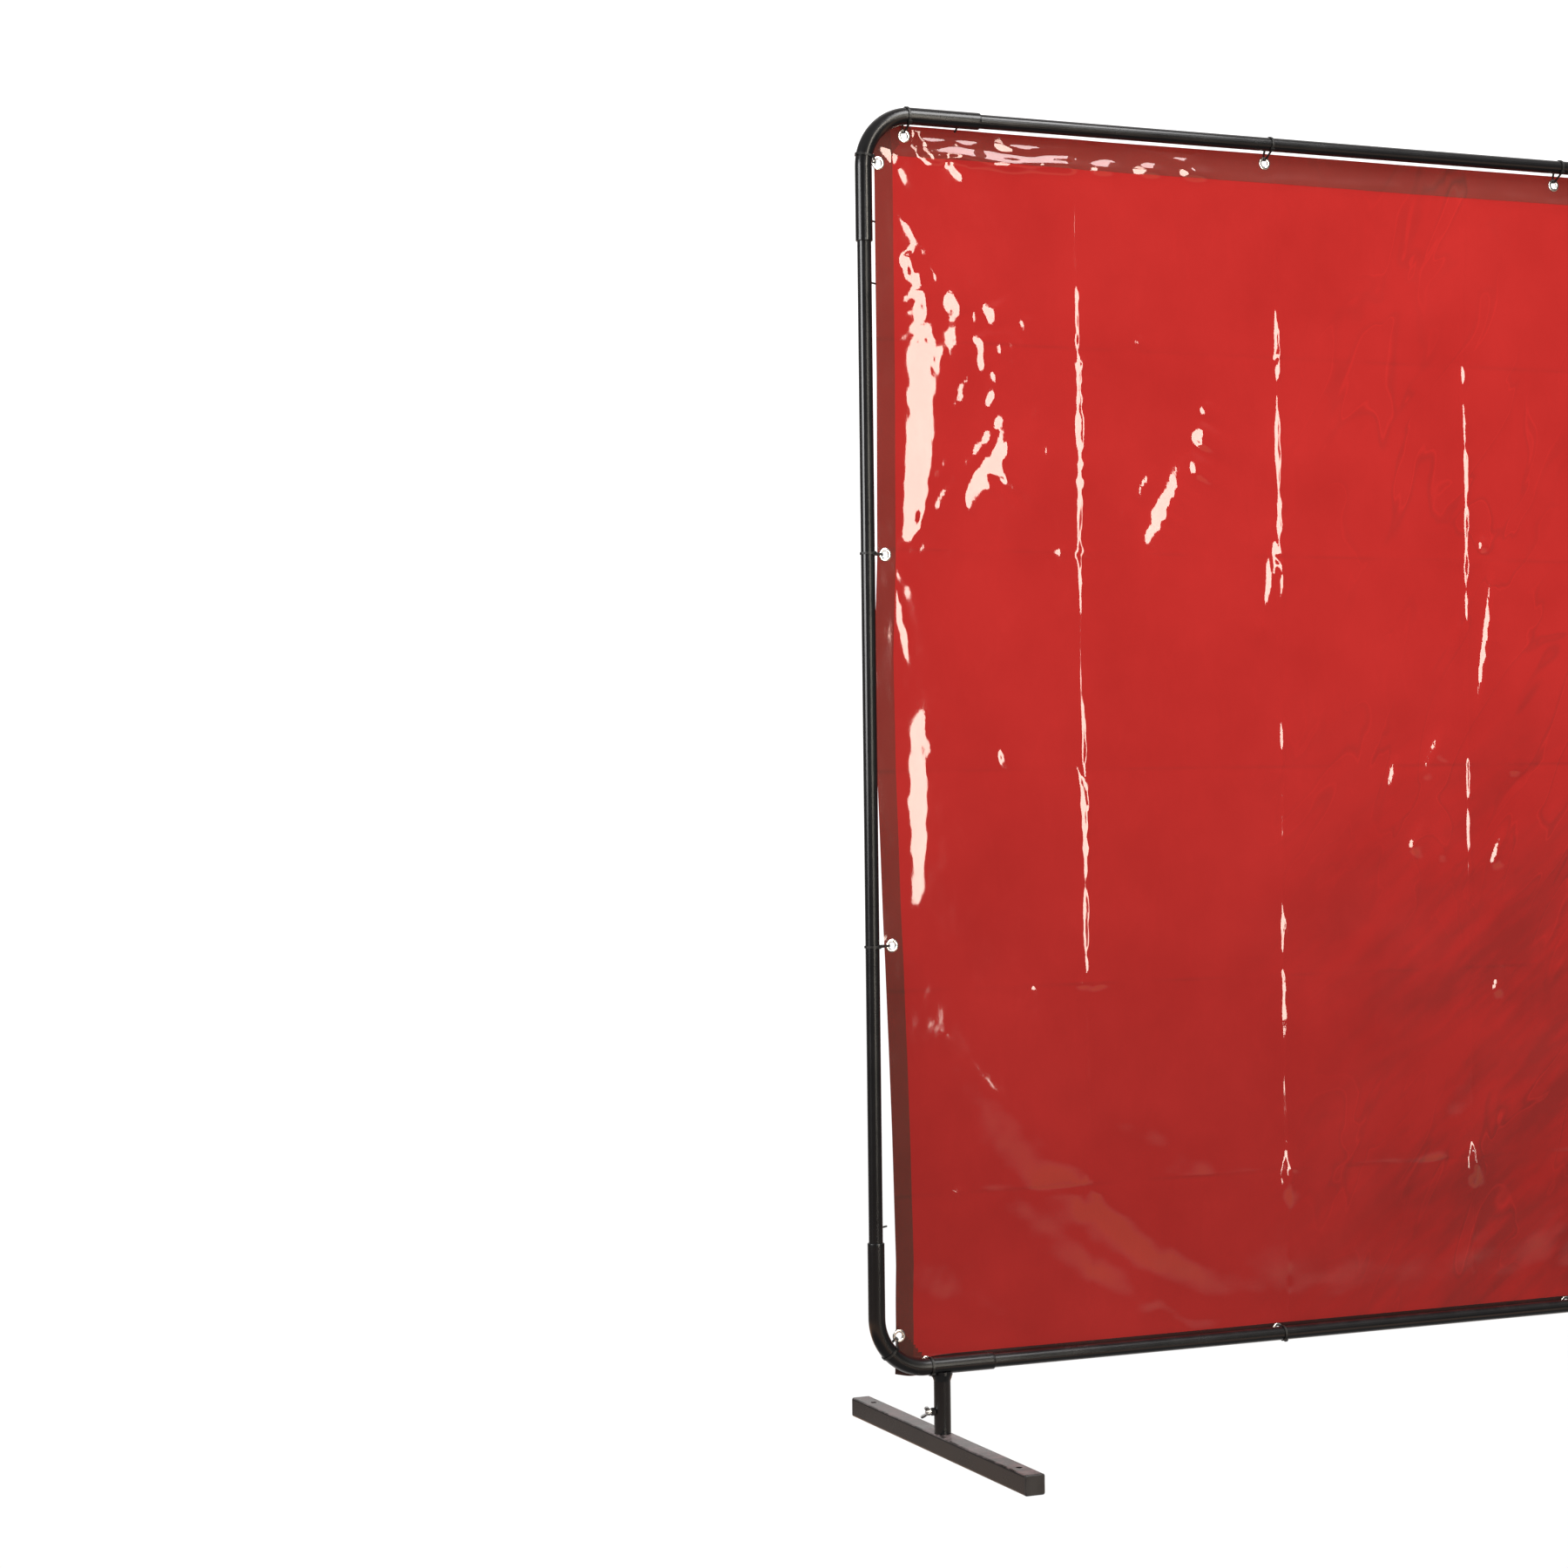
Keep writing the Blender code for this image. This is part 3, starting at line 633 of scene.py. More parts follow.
# Going down, how far the tied film's left edge stands inward from the straight line between its corners
EDGE_V = (0.0, 0.05, 0.35, 0.60, 0.74, 0.90, 1.15, 1.29, 1.41, 1.60, 1.70, 1.75)
EDGE_SHIFT = (0.0, 0.003, 0.001, -0.003, -0.010, -0.009, -0.003, 0.001, 0.004, 0.007, 0.004, 0.002)
EDGE_REACH = 0.10
HEM_RISE = 0.005
HEM_RISE_REACH = 0.018
CORNER_DROP = 0.008
CORNER_DROP_REACH = 0.030


def hung_shape(u, v):
    """Flat film as tied: a little narrower at its foot than at its top, with wandering sides."""
    lowest_left = box_middle("eyelet_left_4")
    highest_left = box_middle("eyelet_left_1")
    lean = (lowest_left.x - highest_left.x) / (highest_left.z - lowest_left.z)
    middle = (CURTAIN_LOW.x + CURTAIN_HIGH.x) / 2
    half = CURTAIN_WIDTH / 2
    from_side = np.minimum(u, CURTAIN_WIDTH - u)
    inward = np.interp(v, EDGE_V, EDGE_SHIFT) * bell(from_side, EDGE_REACH)
    x = middle + (u - half) * (1 - v * lean / half) + np.where(u < half, inward, -inward)
    z = CURTAIN_HIGH.z - v + HEM_RISE * bell(v, HEM_RISE_REACH)
    corner = np.hypot(from_side - HEM_SIDE, CURTAIN_HEIGHT - v)
    z -= CORNER_DROP * bell(corner, CORNER_DROP_REACH)
    return x, z


SIM_CLOTH = {
    "quality": 6,
    "mass": 0.12,
    "tension_stiffness": 60,
    "compression_stiffness": 60,
    "shear_stiffness": 20,
    "bending_stiffness": 6,
    "bending_damping": 1,
    "air_damping": 3,
}
SIM_PIN_REACH = 0.012
START_BILLOW = 0.004
START_FORWARD = 0.002


def quads_of(rows, columns):
    """Corner numbers of each quad in a grid of points."""
    corners = np.arange(rows * columns).reshape(rows, columns)
    return np.stack([corners[:-1, :-1], corners[1:, :-1], corners[1:, 1:], corners[:-1, 1:]], axis=-1)


def simulate_film():
    """Positions of an even grid on the film after it has hung under gravity from its eyelets."""
    columns = round(CURTAIN_WIDTH / SIM_SPACING) + 1
    rows = round(CURTAIN_HEIGHT / SIM_SPACING) + 1
    v, u = np.mgrid[0:CURTAIN_HEIGHT:rows * 1j, 0:CURTAIN_WIDTH:columns * 1j]
    x, z = hung_shape(u, v)
    reach = nearest(u, v, EYELET_SPOTS)
    free = smoothstep(reach, 0.02, 0.12)
    y = CURTAIN_Y - free * (START_BILLOW * waves(u, v, 5, 24, 0.25, 0.9) + START_FORWARD)
    start = np.stack([x, y, z], axis=-1)
    mesh = bpy.data.meshes.new("film_sim")
    mesh.from_pydata(start.reshape(-1, 3).tolist(), [], quads_of(rows, columns).reshape(-1, 4).tolist())
    obj = bpy.data.objects.new("film_sim", mesh)
    bpy.context.scene.collection.objects.link(obj)
    obj.shape_key_add(name="hung")
    rest = obj.shape_key_add(name="cut")
    middle = (CURTAIN_LOW.x + CURTAIN_HIGH.x) / 2
    flat_x = middle + (u - CURTAIN_WIDTH / 2) * SLACK
    flat = np.stack([flat_x, np.full(u.shape, CURTAIN_Y), CURTAIN_HIGH.z - v * SLACK], axis=-1)
    rest.data.foreach_set("co", flat.astype(np.float32).ravel())
    pins = obj.vertex_groups.new(name="pins")
    pins.add(np.flatnonzero(reach.ravel() < SIM_PIN_REACH).tolist(), 1.0, "REPLACE")
    cloth = obj.modifiers.new("hang", "CLOTH")
    cloth.settings.vertex_group_mass = "pins"
    cloth.settings.rest_shape_key = rest
    for key, value in SIM_CLOTH.items():
        setattr(cloth.settings, key, value)
    cloth.collision_settings.use_collision = False
    cloth.point_cache.frame_start = 1
    cloth.point_cache.frame_end = SIM_FRAMES
    for number in range(1, SIM_FRAMES + 1):
        bpy.context.scene.frame_set(number)
    result = obj.evaluated_get(bpy.context.evaluated_depsgraph_get()).to_mesh()
    hung = np.zeros(rows * columns * 3, np.float32)
    result.vertices.foreach_get("co", hung)
    bpy.data.objects.remove(obj)
    bpy.context.scene.frame_set(1)
    return hung.reshape(rows, columns, 3).astype(float)


def spline_rows(count, where):
    """Matrix that reads a uniform cubic B-spline of count even samples, padded by one, at places 0 to 1."""
    t = np.clip(where, 0, 1) * (count - 1)
    first = np.minimum(t.astype(int), count - 2)
    f = t - first
    weights = ((1 - f) ** 3, 3 * f**3 - 6 * f**2 + 4, -3 * f**3 + 3 * f**2 + 3 * f + 1, f**3)
    matrix = np.zeros((len(where), count + 2))
    for k, weight in enumerate(weights):
        matrix[np.arange(len(where)), first + k] = weight / 6
    return matrix


def padded_samples(grid):
    """The grid with one more row and column on each side, carried on in a straight line."""
    grid = np.concatenate([2 * grid[:1] - grid[1:2], grid, 2 * grid[-1:] - grid[-2:-1]])
    left = 2 * grid[:, :1] - grid[:, 1:2]
    right = 2 * grid[:, -1:] - grid[:, -2:-1]
    return np.concatenate([left, grid, right], axis=1)


def crease(distance, height, reach, core):
    """Height of a sharp fold at a distance from its line: a tent with a small round top."""
    return height * np.exp(-(np.sqrt(distance**2 + core**2) - core) / reach)


def flank(aside, start, end, soft, fall):
    """Height of an even slope of one between two places, rounded at both, that sinks back beyond them."""
    rise = soft * (np.logaddexp(0, (aside - start) / soft) - np.logaddexp(0, (aside - end) / soft))
    rise = rise / np.maximum(np.tanh((end - start) / (4 * soft)), 0.7)
    return rise * np.exp(-np.clip(aside - end, 0, None) / fall)


GLINT_U = 0.05
GLINT_SLOPE = 0.066
GLINT_GROWTH = 0.215


def glint_slope(u):
    """Slope across the film, rising to the right, at which it shows the key light to the camera."""
    return GLINT_SLOPE + GLINT_GROWTH * (u - GLINT_U)


# Upright creases left from packing. Going down, the share of its full width that each one's left flank has.
CREASE_1 = (
    (0.00, 0.0), (0.19, 0.0), (0.21, 0.5), (0.30, 0.5), (0.33, 0.9), (0.40, 1.0), (0.54, 0.8),
    (0.57, 0.0), (0.585, 0.7), (0.66, 0.5), (0.69, 0.0), (0.80, 0.0), (0.82, 0.5), (0.90, 0.4),
    (0.92, 0.9), (1.00, 0.9), (1.05, 0.8), (1.07, 0.1), (1.09, 0.7), (1.16, 0.6), (1.20, 0.3),
    (1.23, 0.0), (1.75, 0.0),
)
CREASE_2 = (
    (0.00, 0.0), (0.21, 0.0), (0.24, 0.7), (0.30, 0.8), (0.36, 1.0), (0.54, 0.9), (0.58, 1.0),
    (0.64, 1.0), (0.67, 0.1), (0.84, 0.1), (0.87, 0.6), (0.90, 0.1), (1.10, 0.1), (1.13, 0.8),
    (1.17, 0.5), (1.20, 1.1), (1.28, 1.1), (1.31, 0.2), (1.45, 0.3), (1.48, 1.0), (1.53, 1.0),
    (1.56, 0.2), (1.75, 0.3),
)
CREASE_3 = (
    (0.00, 0.0), (0.26, 0.0), (0.28, 0.7), (0.36, 0.6), (0.40, 1.0), (0.55, 0.9), (0.66, 0.9),
    (0.70, 0.3), (0.89, 0.2), (0.92, 1.1), (1.06, 1.1), (1.09, 0.1), (1.47, 0.1), (1.49, 0.9),
    (1.53, 0.8), (1.55, 0.1), (1.75, 0.1),
)
CREASE_4 = (
    (0.00, 0.0), (0.25, 0.3), (0.60, 0.8), (1.05, 0.5), (1.40, 0.8), (1.75, 0.2),
)
UPRIGHT_CREASES = (
    (FOLDS_U[0], 0.0125, CREASE_1),
    (FOLDS_U[1], 0.0100, CREASE_2),
    (FOLDS_U[2], 0.0085, CREASE_3),
    (FOLDS_U[3], 0.0070, CREASE_4),
    (FOLDS_U[4], 0.0080, CREASE_1),
)


def upright_creases(u, v):
    """Height, towards the front, of the upright creases left from packing."""
    height = np.zeros_like(u)
    for i, (place, width, table) in enumerate(UPRIGHT_CREASES):
        wander = 0.0011 * ripple(v, 20 + i, 12, 0.12, 0.9)
        ragged = 0.16 * ripple(v, 40 + i, 16, 0.018, 0.10)
        share = np.interp(v, [row[0] for row in table], [row[1] for row in table])
        open_width = width * np.clip(share * (1 + 2.2 * ragged) + 0.4 * ragged, 0.04, 1.25)
        aside = u - place - wander
        slope = glint_slope(place) * (1 + 0.05 * ripple(v, 50 + i, 12, 0.02, 0.12))
        height += slope * flank(aside, -open_width / 2, open_width / 2, 0.0011, 0.006)
        height += crease(aside - open_width / 2, 0.0004, 0.003, 0.0010)
    return height


def level_creases(u, v):
    """Height of the level creases, which fold forward and back in turn."""
    height = np.zeros_like(u)
    for i, place in enumerate(FOLDS_V):
        wander = 0.0015 * ripple(u, 60 + i, 12, 0.12, 0.9)
        strength = 0.6 + 0.4 * ripple(u, 80 + i, 16, 0.05, 0.5)
        sign = -1 if i % 2 == 0 else 1
        line = crease(v - place - wander, 0.0008, 0.006, 0.0014)
        height += sign * np.clip(strength, 0.05, 1.2) * line
    return height


DENTS_PER_CROSSING = 8
DENT_WIDTH = 0.0038


def crossing_dents(u, v):
    """Height of the small dents where upright and level creases cross."""
    height = np.zeros_like(u)
    rng = np.random.default_rng(7)
    for place_u in FOLDS_U:
        for place_v in FOLDS_V:
            for _ in range(DENTS_PER_CROSSING):
                angle = 2 * math.pi * rng.random()
                length = 0.006 + 0.018 * rng.random()
                start_u = place_u + 0.018 * rng.normal()
                start_v = place_v + 0.012 * rng.normal()
                size = (rng.random() - 0.35) * 0.0014
                along = (u - start_u) * math.cos(angle) + (v - start_v) * math.sin(angle)
                aside = -(u - start_u) * math.sin(angle) + (v - start_v) * math.cos(angle)
                height += size * bell(along, length) * bell(aside, DENT_WIDTH)
    return height


# Wrinkles: u and v of the middle of each one's lit flank, its lean in degrees, its length and its width.
# It rises from the horizontal by its lean, to the right if that is positive, or else to the left.
WRINKLES = (
    (0.058, 0.150, -50, 0.080, 0.005),
    (0.088, 0.195, -62, 0.075, 0.005),
    (0.056, 0.200, -46, 0.050, 0.011),
    (0.072, 0.243, -70, 0.050, 0.012),
    (0.118, 0.245, -62, 0.040, 0.023),
    (0.116, 0.290, 76, 0.070, 0.022),
    (0.100, 0.312, 30, 0.036, 0.008),
    (0.152, 0.250, 60, 0.012, 0.010),
    (0.154, 0.268, -70, 0.014, 0.009),
    (0.180, 0.258, -62, 0.034, 0.023),
    (0.170, 0.283, 10, 0.044, 0.014),
    (0.186, 0.300, -78, 0.040, 0.022),
    (0.163, 0.318, 60, 0.018, 0.016),
    (0.231, 0.270, -84, 0.030, 0.014),
    (0.222, 0.290, 8, 0.030, 0.012),
    (0.222, 0.312, 40, 0.024, 0.008),
    (0.136, 0.356, 52, 0.034, 0.008),
    (0.132, 0.374, 50, 0.044, 0.008),
    (0.190, 0.336, 28, 0.030, 0.007),
    (0.178, 0.372, 66, 0.034, 0.013),
    (0.192, 0.405, 62, 0.032, 0.013),
    (0.163, 0.440, 48, 0.100, 0.010),
    (0.190, 0.430, 58, 0.070, 0.013),
    (0.172, 0.470, 56, 0.130, 0.035),
    (0.150, 0.512, 66, 0.060, 0.016),
    (0.102, 0.470, 58, 0.044, 0.007),
    (0.108, 0.506, 50, 0.064, 0.008),
    (0.118, 0.478, 60, 0.024, 0.009),
    (0.068, 0.540, 34, 0.026, 0.006),
    (0.272, 0.352, 50, 0.050, 0.007),
    (0.258, 0.382, 52, 0.060, 0.011),
    (0.252, 0.412, 40, 0.040, 0.008),
    (0.268, 0.440, 70, 0.058, 0.021),
    (0.530, 0.374, 60, 0.024, 0.014),
    (0.519, 0.412, 66, 0.040, 0.024),
    (0.498, 0.464, 66, 0.060, 0.028),
    (0.460, 0.510, 63, 0.150, 0.032),
    (0.428, 0.486, 62, 0.060, 0.014),
    (0.392, 0.532, 66, 0.040, 0.014),
    (0.420, 0.540, 75, 0.020, 0.011),
    (0.420, 0.278, 55, 0.018, 0.012),
    (0.345, 0.326, 70, 0.014, 0.009),
    (0.290, 0.585, 20, 0.020, 0.008),
    (0.640, 0.615, 80, 0.120, 0.015),
    (0.614, 0.700, 55, 0.040, 0.013),
    (0.654, 1.505, 76, 0.080, 0.012),
    (0.988, 1.512, 74, 0.055, 0.012),
    (0.040, 0.700, -78, 0.130, 0.006),
    (0.112, 1.499, 8, 0.034, 0.007),
    (0.236, 1.216, 35, 0.014, 0.006),
    (0.190, 0.880, 30, 0.014, 0.008),
    (0.400, 0.905, 70, 0.014, 0.009),
    (0.041, 0.036, 47, 0.040, 0.011),
    (0.024, 0.021, 47, 0.046, 0.004),
    (0.088, 0.040, -20, 0.040, 0.014),
    (0.128, 0.056, -34, 0.040, 0.010),
    (0.150, 0.046, -24, 0.014, 0.006),
    (1.021, 0.716, 82, 0.250, 0.015),
    (1.014, 0.566, 80, 0.024, 0.013),
    (0.964, 0.708, 66, 0.060, 0.014),
    (0.922, 0.882, 64, 0.090, 0.015),
    (0.849, 0.918, 76, 0.060, 0.013),
    (0.893, 1.008, 54, 0.055, 0.014),
    (0.933, 1.033, 80, 0.034, 0.015),
    (1.040, 1.032, 68, 0.060, 0.014),
    (1.068, 0.905, 85, 0.032, 0.014),
    (1.038, 1.232, 60, 0.048, 0.014),
)


def wrinkles(u, v):
    """Height of short wrinkles, each with an even left flank that catches the key and a gentle right one."""
    height = np.zeros_like(u)
    for number, (place_u, place_v, lean, length, width) in enumerate(WRINKLES):
        angle = math.radians(lean)
        aside_u, aside_v = abs(math.sin(angle)), math.cos(angle) * (1 if lean > 0 else -1)
        half = width / 2
        around = length + 12 * half
        near = (np.abs(u - place_u) < around) & (np.abs(v - place_v) < around)
        du, dv = u[near] - place_u, v[near] - place_v
        aside = du * aside_u + dv * aside_v
        along = du * aside_v - dv * aside_u
        taper = np.clip(1 - (2 * along / length) ** 2, 0, 1) ** 0.7
        last = half * taper * (1 + 0.25 * ripple(along, 300 + number, 8, 0.012, 0.050))
        slope = glint_slope(place_u) / max(0.5, aside_u)
        soft = min(0.0022, 0.25 * width)
        ridge = slope * flank(aside, -half * taper, last, soft, 0.004 + 2.5 * half)
        ridge *= 0.90 + 0.12 * np.clip((aside + half) / width, 0, 1)
        height[near] = np.maximum(height[near], ridge)
    return height


# Long soft bulge beside the left hem, going down: middle and half of its lit flank, and its strength
BULGE_V = (0.12, 0.18, 0.24, 0.30, 0.46, 0.53, 0.57, 0.60, 0.80, 0.84, 0.92, 1.03, 1.09, 1.13)
BULGE_U = (0.050, 0.056, 0.064, 0.075, 0.068, 0.056, 0.048, 0.048, 0.066, 0.064, 0.062, 0.057, 0.051, 0.050)
BULGE_HALF = (0.004, 0.008, 0.012, 0.023, 0.02, 0.015, 0.008, 0.004, 0.005, 0.01, 0.012, 0.01, 0.006, 0.004)
BULGE_GAIN = (0.0, 0.35, 0.55, 1.0, 1.0, 1.0, 0.8, 0.1, 0.1, 0.95, 1.0, 0.95, 0.8, 0.0)


def side_bulge(u, v):
    """The film leaves its left hem at a slight angle and comes forward before it runs flat."""
    middle = np.interp(v, BULGE_V, BULGE_U)
    half = np.interp(v, BULGE_V, BULGE_HALF)
    gain = np.interp(v, BULGE_V, BULGE_GAIN)
    return gain * glint_slope(0.06) * flank(u - middle, -half, half, 0.0035, 0.16)


# Swags from the side eyelets down to the foot: going inward, each one's line, then its width and height
SWAG_STEEPNESS = 0.75
SWAG_U = (0.03, 0.145, 0.256, 0.397, 0.542, 0.70)
SWAGS = (
    ((1.215, 1.335, 1.425, 1.570, 1.660, 1.735), 0.032, 0.0036),
    ((1.190, 1.262, 1.320, 1.400, 1.470, 1.540), 0.026, 0.0020),
    ((1.270, 1.470, 1.560, 1.655, 1.720, 1.780), 0.024, 0.0022),
)


def swags(u, v):
    """Height of the soft drag folds in both lower corners, and of slanting ones on the right part."""
    height = np.zeros_like(u)
    for mirrored in (False, True):
        across = CURTAIN_WIDTH - u if mirrored else u
        for line, width, size in SWAGS:
            away = (v - np.interp(across, SWAG_U, line)) * SWAG_STEEPNESS
            fade = smoothstep(across, 0.05, 0.36) * (1 - smoothstep(across, 0.48, 0.68))
            height += size * fade * bell(away, width)
    slant = waves(u, v, 33, 18, 0.07, 0.20, tilt=math.radians(35), spread=0.6)
    height += 0.0004 * slant * smoothstep(u, 0.60, 0.85) * smoothstep(v, 0.45, 0.75)
    return height


def hem_curls(u, v):
    """Height of the ridges where the top hem curls: one along its folded edge and one along its weld."""
    lower = 0.0350 + 0.0022 * ripple(u, 91, 10, 0.08, 0.40)
    run = 0.35 + 0.85 * smoothstep(u, 0.05, 0.12) * (1 - smoothstep(u, 0.50, 0.58))
    rough = np.clip(0.85 + 0.40 * ripple(u, 92, 14, 0.03, 0.20), 0, 1.4)
    height = 0.0044 * run * rough * bell(v - lower, 0.0100)
    upper = 0.0095 + 0.0040 * ripple(u, 93, 10, 0.10, 0.35)
    run = smoothstep(u, 0.04, 0.08) * (1 - smoothstep(u, 0.28, 0.40)) + 0.9 * bell(u - 0.47, 0.06)
    rough = np.clip(0.9 + 0.35 * ripple(u, 94, 14, 0.04, 0.20), 0, 1.4)
    return height + 0.0040 * run * rough * bell(v - upper, 0.0095)


PULL_HEIGHT = 0.0005


def pull_folds(u, v):
    """Height of the folds that fan out from the eyelets."""
    height = np.zeros_like(u)
    rng = np.random.default_rng(11)
    for place_u, place_v in EYELET_SPOTS:
        away = np.hypot(u - place_u, v - place_v)
        angle = np.arctan2(v - place_v, u - place_u)
        rays = 7 + int(3 * rng.random())
        phase = 2 * math.pi * rng.random()
        twist = 2.0 * (rng.random() - 0.5)
        shape = np.cos(rays * angle + phase + twist * away / 0.15)
        fade = smoothstep(away, 0.010, 0.05) * np.exp(-away / 0.05)
        height += PULL_HEIGHT * shape * fade
    return height


# Heights of the film's random unevenness, from its widest to its finest, and of the step at the left hem
SWELL = 0.00028
RUCK = 0.00016
SHIMMER = 0.00005
HEM_STEP = 0.00035


def film_height(u, v):
    """All that is too fine for the simulation, as height towards the front."""
    gentle = 0.25 + 0.75 * bell(u, 0.22)
    rough_u = u + 0.0008 * gentle * waves(u, v, 71, 30, 0.016, 0.050)
    rough_v = v + 0.0022 * gentle * waves(u, v, 72, 30, 0.016, 0.050)
    bent_v = v + 0.005 * waves(u, v, 73, 30, 0.035, 0.14)
    height = upright_creases(u, v) + level_creases(u, v) + crossing_dents(u, v)
    height += pull_folds(u, v) + swags(u, bent_v)
    height += wrinkles(rough_u, rough_v) + side_bulge(rough_u, rough_v)
    height += SWELL * waves(u, v, 3, 40, 0.10, 0.35)
    lively = 0.3 + 0.9 * bell(u - 0.10, 0.10) * smoothstep(v, 0.10, 0.2)
    height += SHIMMER * waves(u, v, 4, 60, 0.018, 0.045) * lively
    ragged = smoothstep(v, 0.13, 0.19) * (1 - smoothstep(v, 0.27, 0.34)) * bell(u - 0.09, 0.07)
    height += RUCK * waves(u, v, 6, 24, 0.017, 0.030, tilt=math.radians(75), spread=1.4) * ragged
    height -= HEM_STEP * smoothstep(u, HEM_SIDE - 0.001, HEM_SIDE + 0.001)
    height *= 0.25 + 0.75 * smoothstep(edge_distance(u, v), 0.01, 0.045)
    return height + hem_curls(u, v)


TUBE_CLEARANCE = 0.0012
FREE_DEPTH = 0.05
CORNER_REACH = 0.09


def keep_behind_frame(points):
    """Keep the film from coming forward where it passes behind the tubes and their bends."""
    x, y, z = points[..., 0], points[..., 1], points[..., 2]
    half = (POST_RIGHT.x - POST_LEFT.x) / 2
    across = np.abs(x) - half
    over = np.abs(z - (RAIL_TOP.z + RAIL_BOTTOM.z) / 2) - (RAIL_TOP.z - RAIL_BOTTOM.z) / 2
    near = np.minimum(np.abs(across), np.abs(over))
    corner = (across > -CORNER_REACH) & (over > -CORNER_REACH)
    near = np.where(corner, 0.0, near)
    least = CURTAIN_Y - TUBE_CLEARANCE - FREE_DEPTH * smoothstep(near, 0.02, 0.12)
    points[..., 1] = np.maximum(y, least)
    return points


def grid_mesh(name, points, skip):
    """Quad mesh over a grid of points, without the skipped quads."""
    quads = quads_of(*points.shape[:2])[~skip]
    used, remade = np.unique(quads, return_inverse=True)
    mesh = bpy.data.meshes.new(name)
    mesh.from_pydata(points.reshape(-1, 3)[used].tolist(), [], remade.reshape(-1, 4).tolist())
    mesh.shade_smooth()
    return mesh


def film_points(u, v, samples):
    """Smooth surface through padded even samples, at each pair of a column place and a row place."""
    rows = spline_rows(samples.shape[0] - 2, v / CURTAIN_HEIGHT)
    columns = spline_rows(samples.shape[1] - 2, u / CURTAIN_WIDTH)
    return np.einsum("ai,ijk,bj->abk", rows, samples, columns)


def calm(points, flat, u, v):
    """Keep a share of the simulated hang: little near the hems and in the upper part, more lower down."""
    share = 0.22 + 0.33 * smoothstep(v, 0.95, 1.45)
    share = share * (0.30 + 0.70 * smoothstep(edge_distance(u, v), 0.0, 0.10))
    share = share * (1 - 0.85 * bell(u - 0.07, 0.07) * bell(v - 1.22, 0.09))
    return flat + (points - flat) * share[..., None]


# Film mesh: coarsest spacings, and each place that needs a closer one (place, half-width, spacing)
COARSE_U = 0.0096
COARSE_V = 0.0094
FINE_U = [(place, 0.009, 0.0020) for place in FOLDS_U[:3]]
FINE_U += [(place, 0.004, 0.0045) for place in FOLDS_U[3:]]
FINE_U += [(0.135, 0.107, 0.0040), (0.480, 0.060, 0.0050), (HEM_SIDE, 0.002, 0.0014)]
FINE_U += [(1.028, 0.022, 0.0028), (0.900, 0.055, 0.0040)]
FINE_U += [(place, 0.009, 0.0032) for place, _ in EYELET_SPOTS]
FINE_V = [(0.022, 0.022, 0.0024), (0.340, 0.210, 0.0054), (0.95, 0.14, 0.0080)]
FINE_V += [(place, 0.002, 0.0040) for place in FOLDS_V]
FINE_V += [(place, 0.009, 0.0032) for _, place in EYELET_SPOTS]


def make_curtain(eyelets):
    """The film, with holes at its eyelets, and its hems."""
    lines_u = fine_lines(CURTAIN_WIDTH, COARSE_U, FINE_U)
    lines_v = fine_lines(CURTAIN_HEIGHT, COARSE_V, FINE_V)
    v, u = np.meshgrid(lines_v, lines_u, indexing="ij")
    flat_x, flat_z = hung_shape(u, v)
    flat = np.stack([flat_x, np.full(u.shape, CURTAIN_Y), flat_z], axis=-1)
    hung = film_points(lines_u, lines_v, padded_samples(simulate_film()))
    points = calm(hung, flat, u, v)
    reach = nearest(points[..., 0], points[..., 2], [(centre.x, centre.z) for centre in EYELET_CENTRES])
    points[..., 1] -= film_height(u, v) * smoothstep(reach, 0.010, 0.03)
    points = keep_behind_frame(points)
    points[..., 1] = CURTAIN_Y + (points[..., 1] - CURTAIN_Y) * smoothstep(reach, 0.009, 0.022)
    film = points.copy()
    film[..., 1] -= FILM_LAYER
    middle = (reach[:-1, :-1] + reach[1:, 1:] + reach[:-1, 1:] + reach[1:, :-1]) / 4
    skip = middle < EYELET_BARREL
    curtain = add_piece("film", grid_mesh("film", film, skip), FILM, "frame", ("curtain",))
    hems = make_hems(lines_u, lines_v, points, skip)


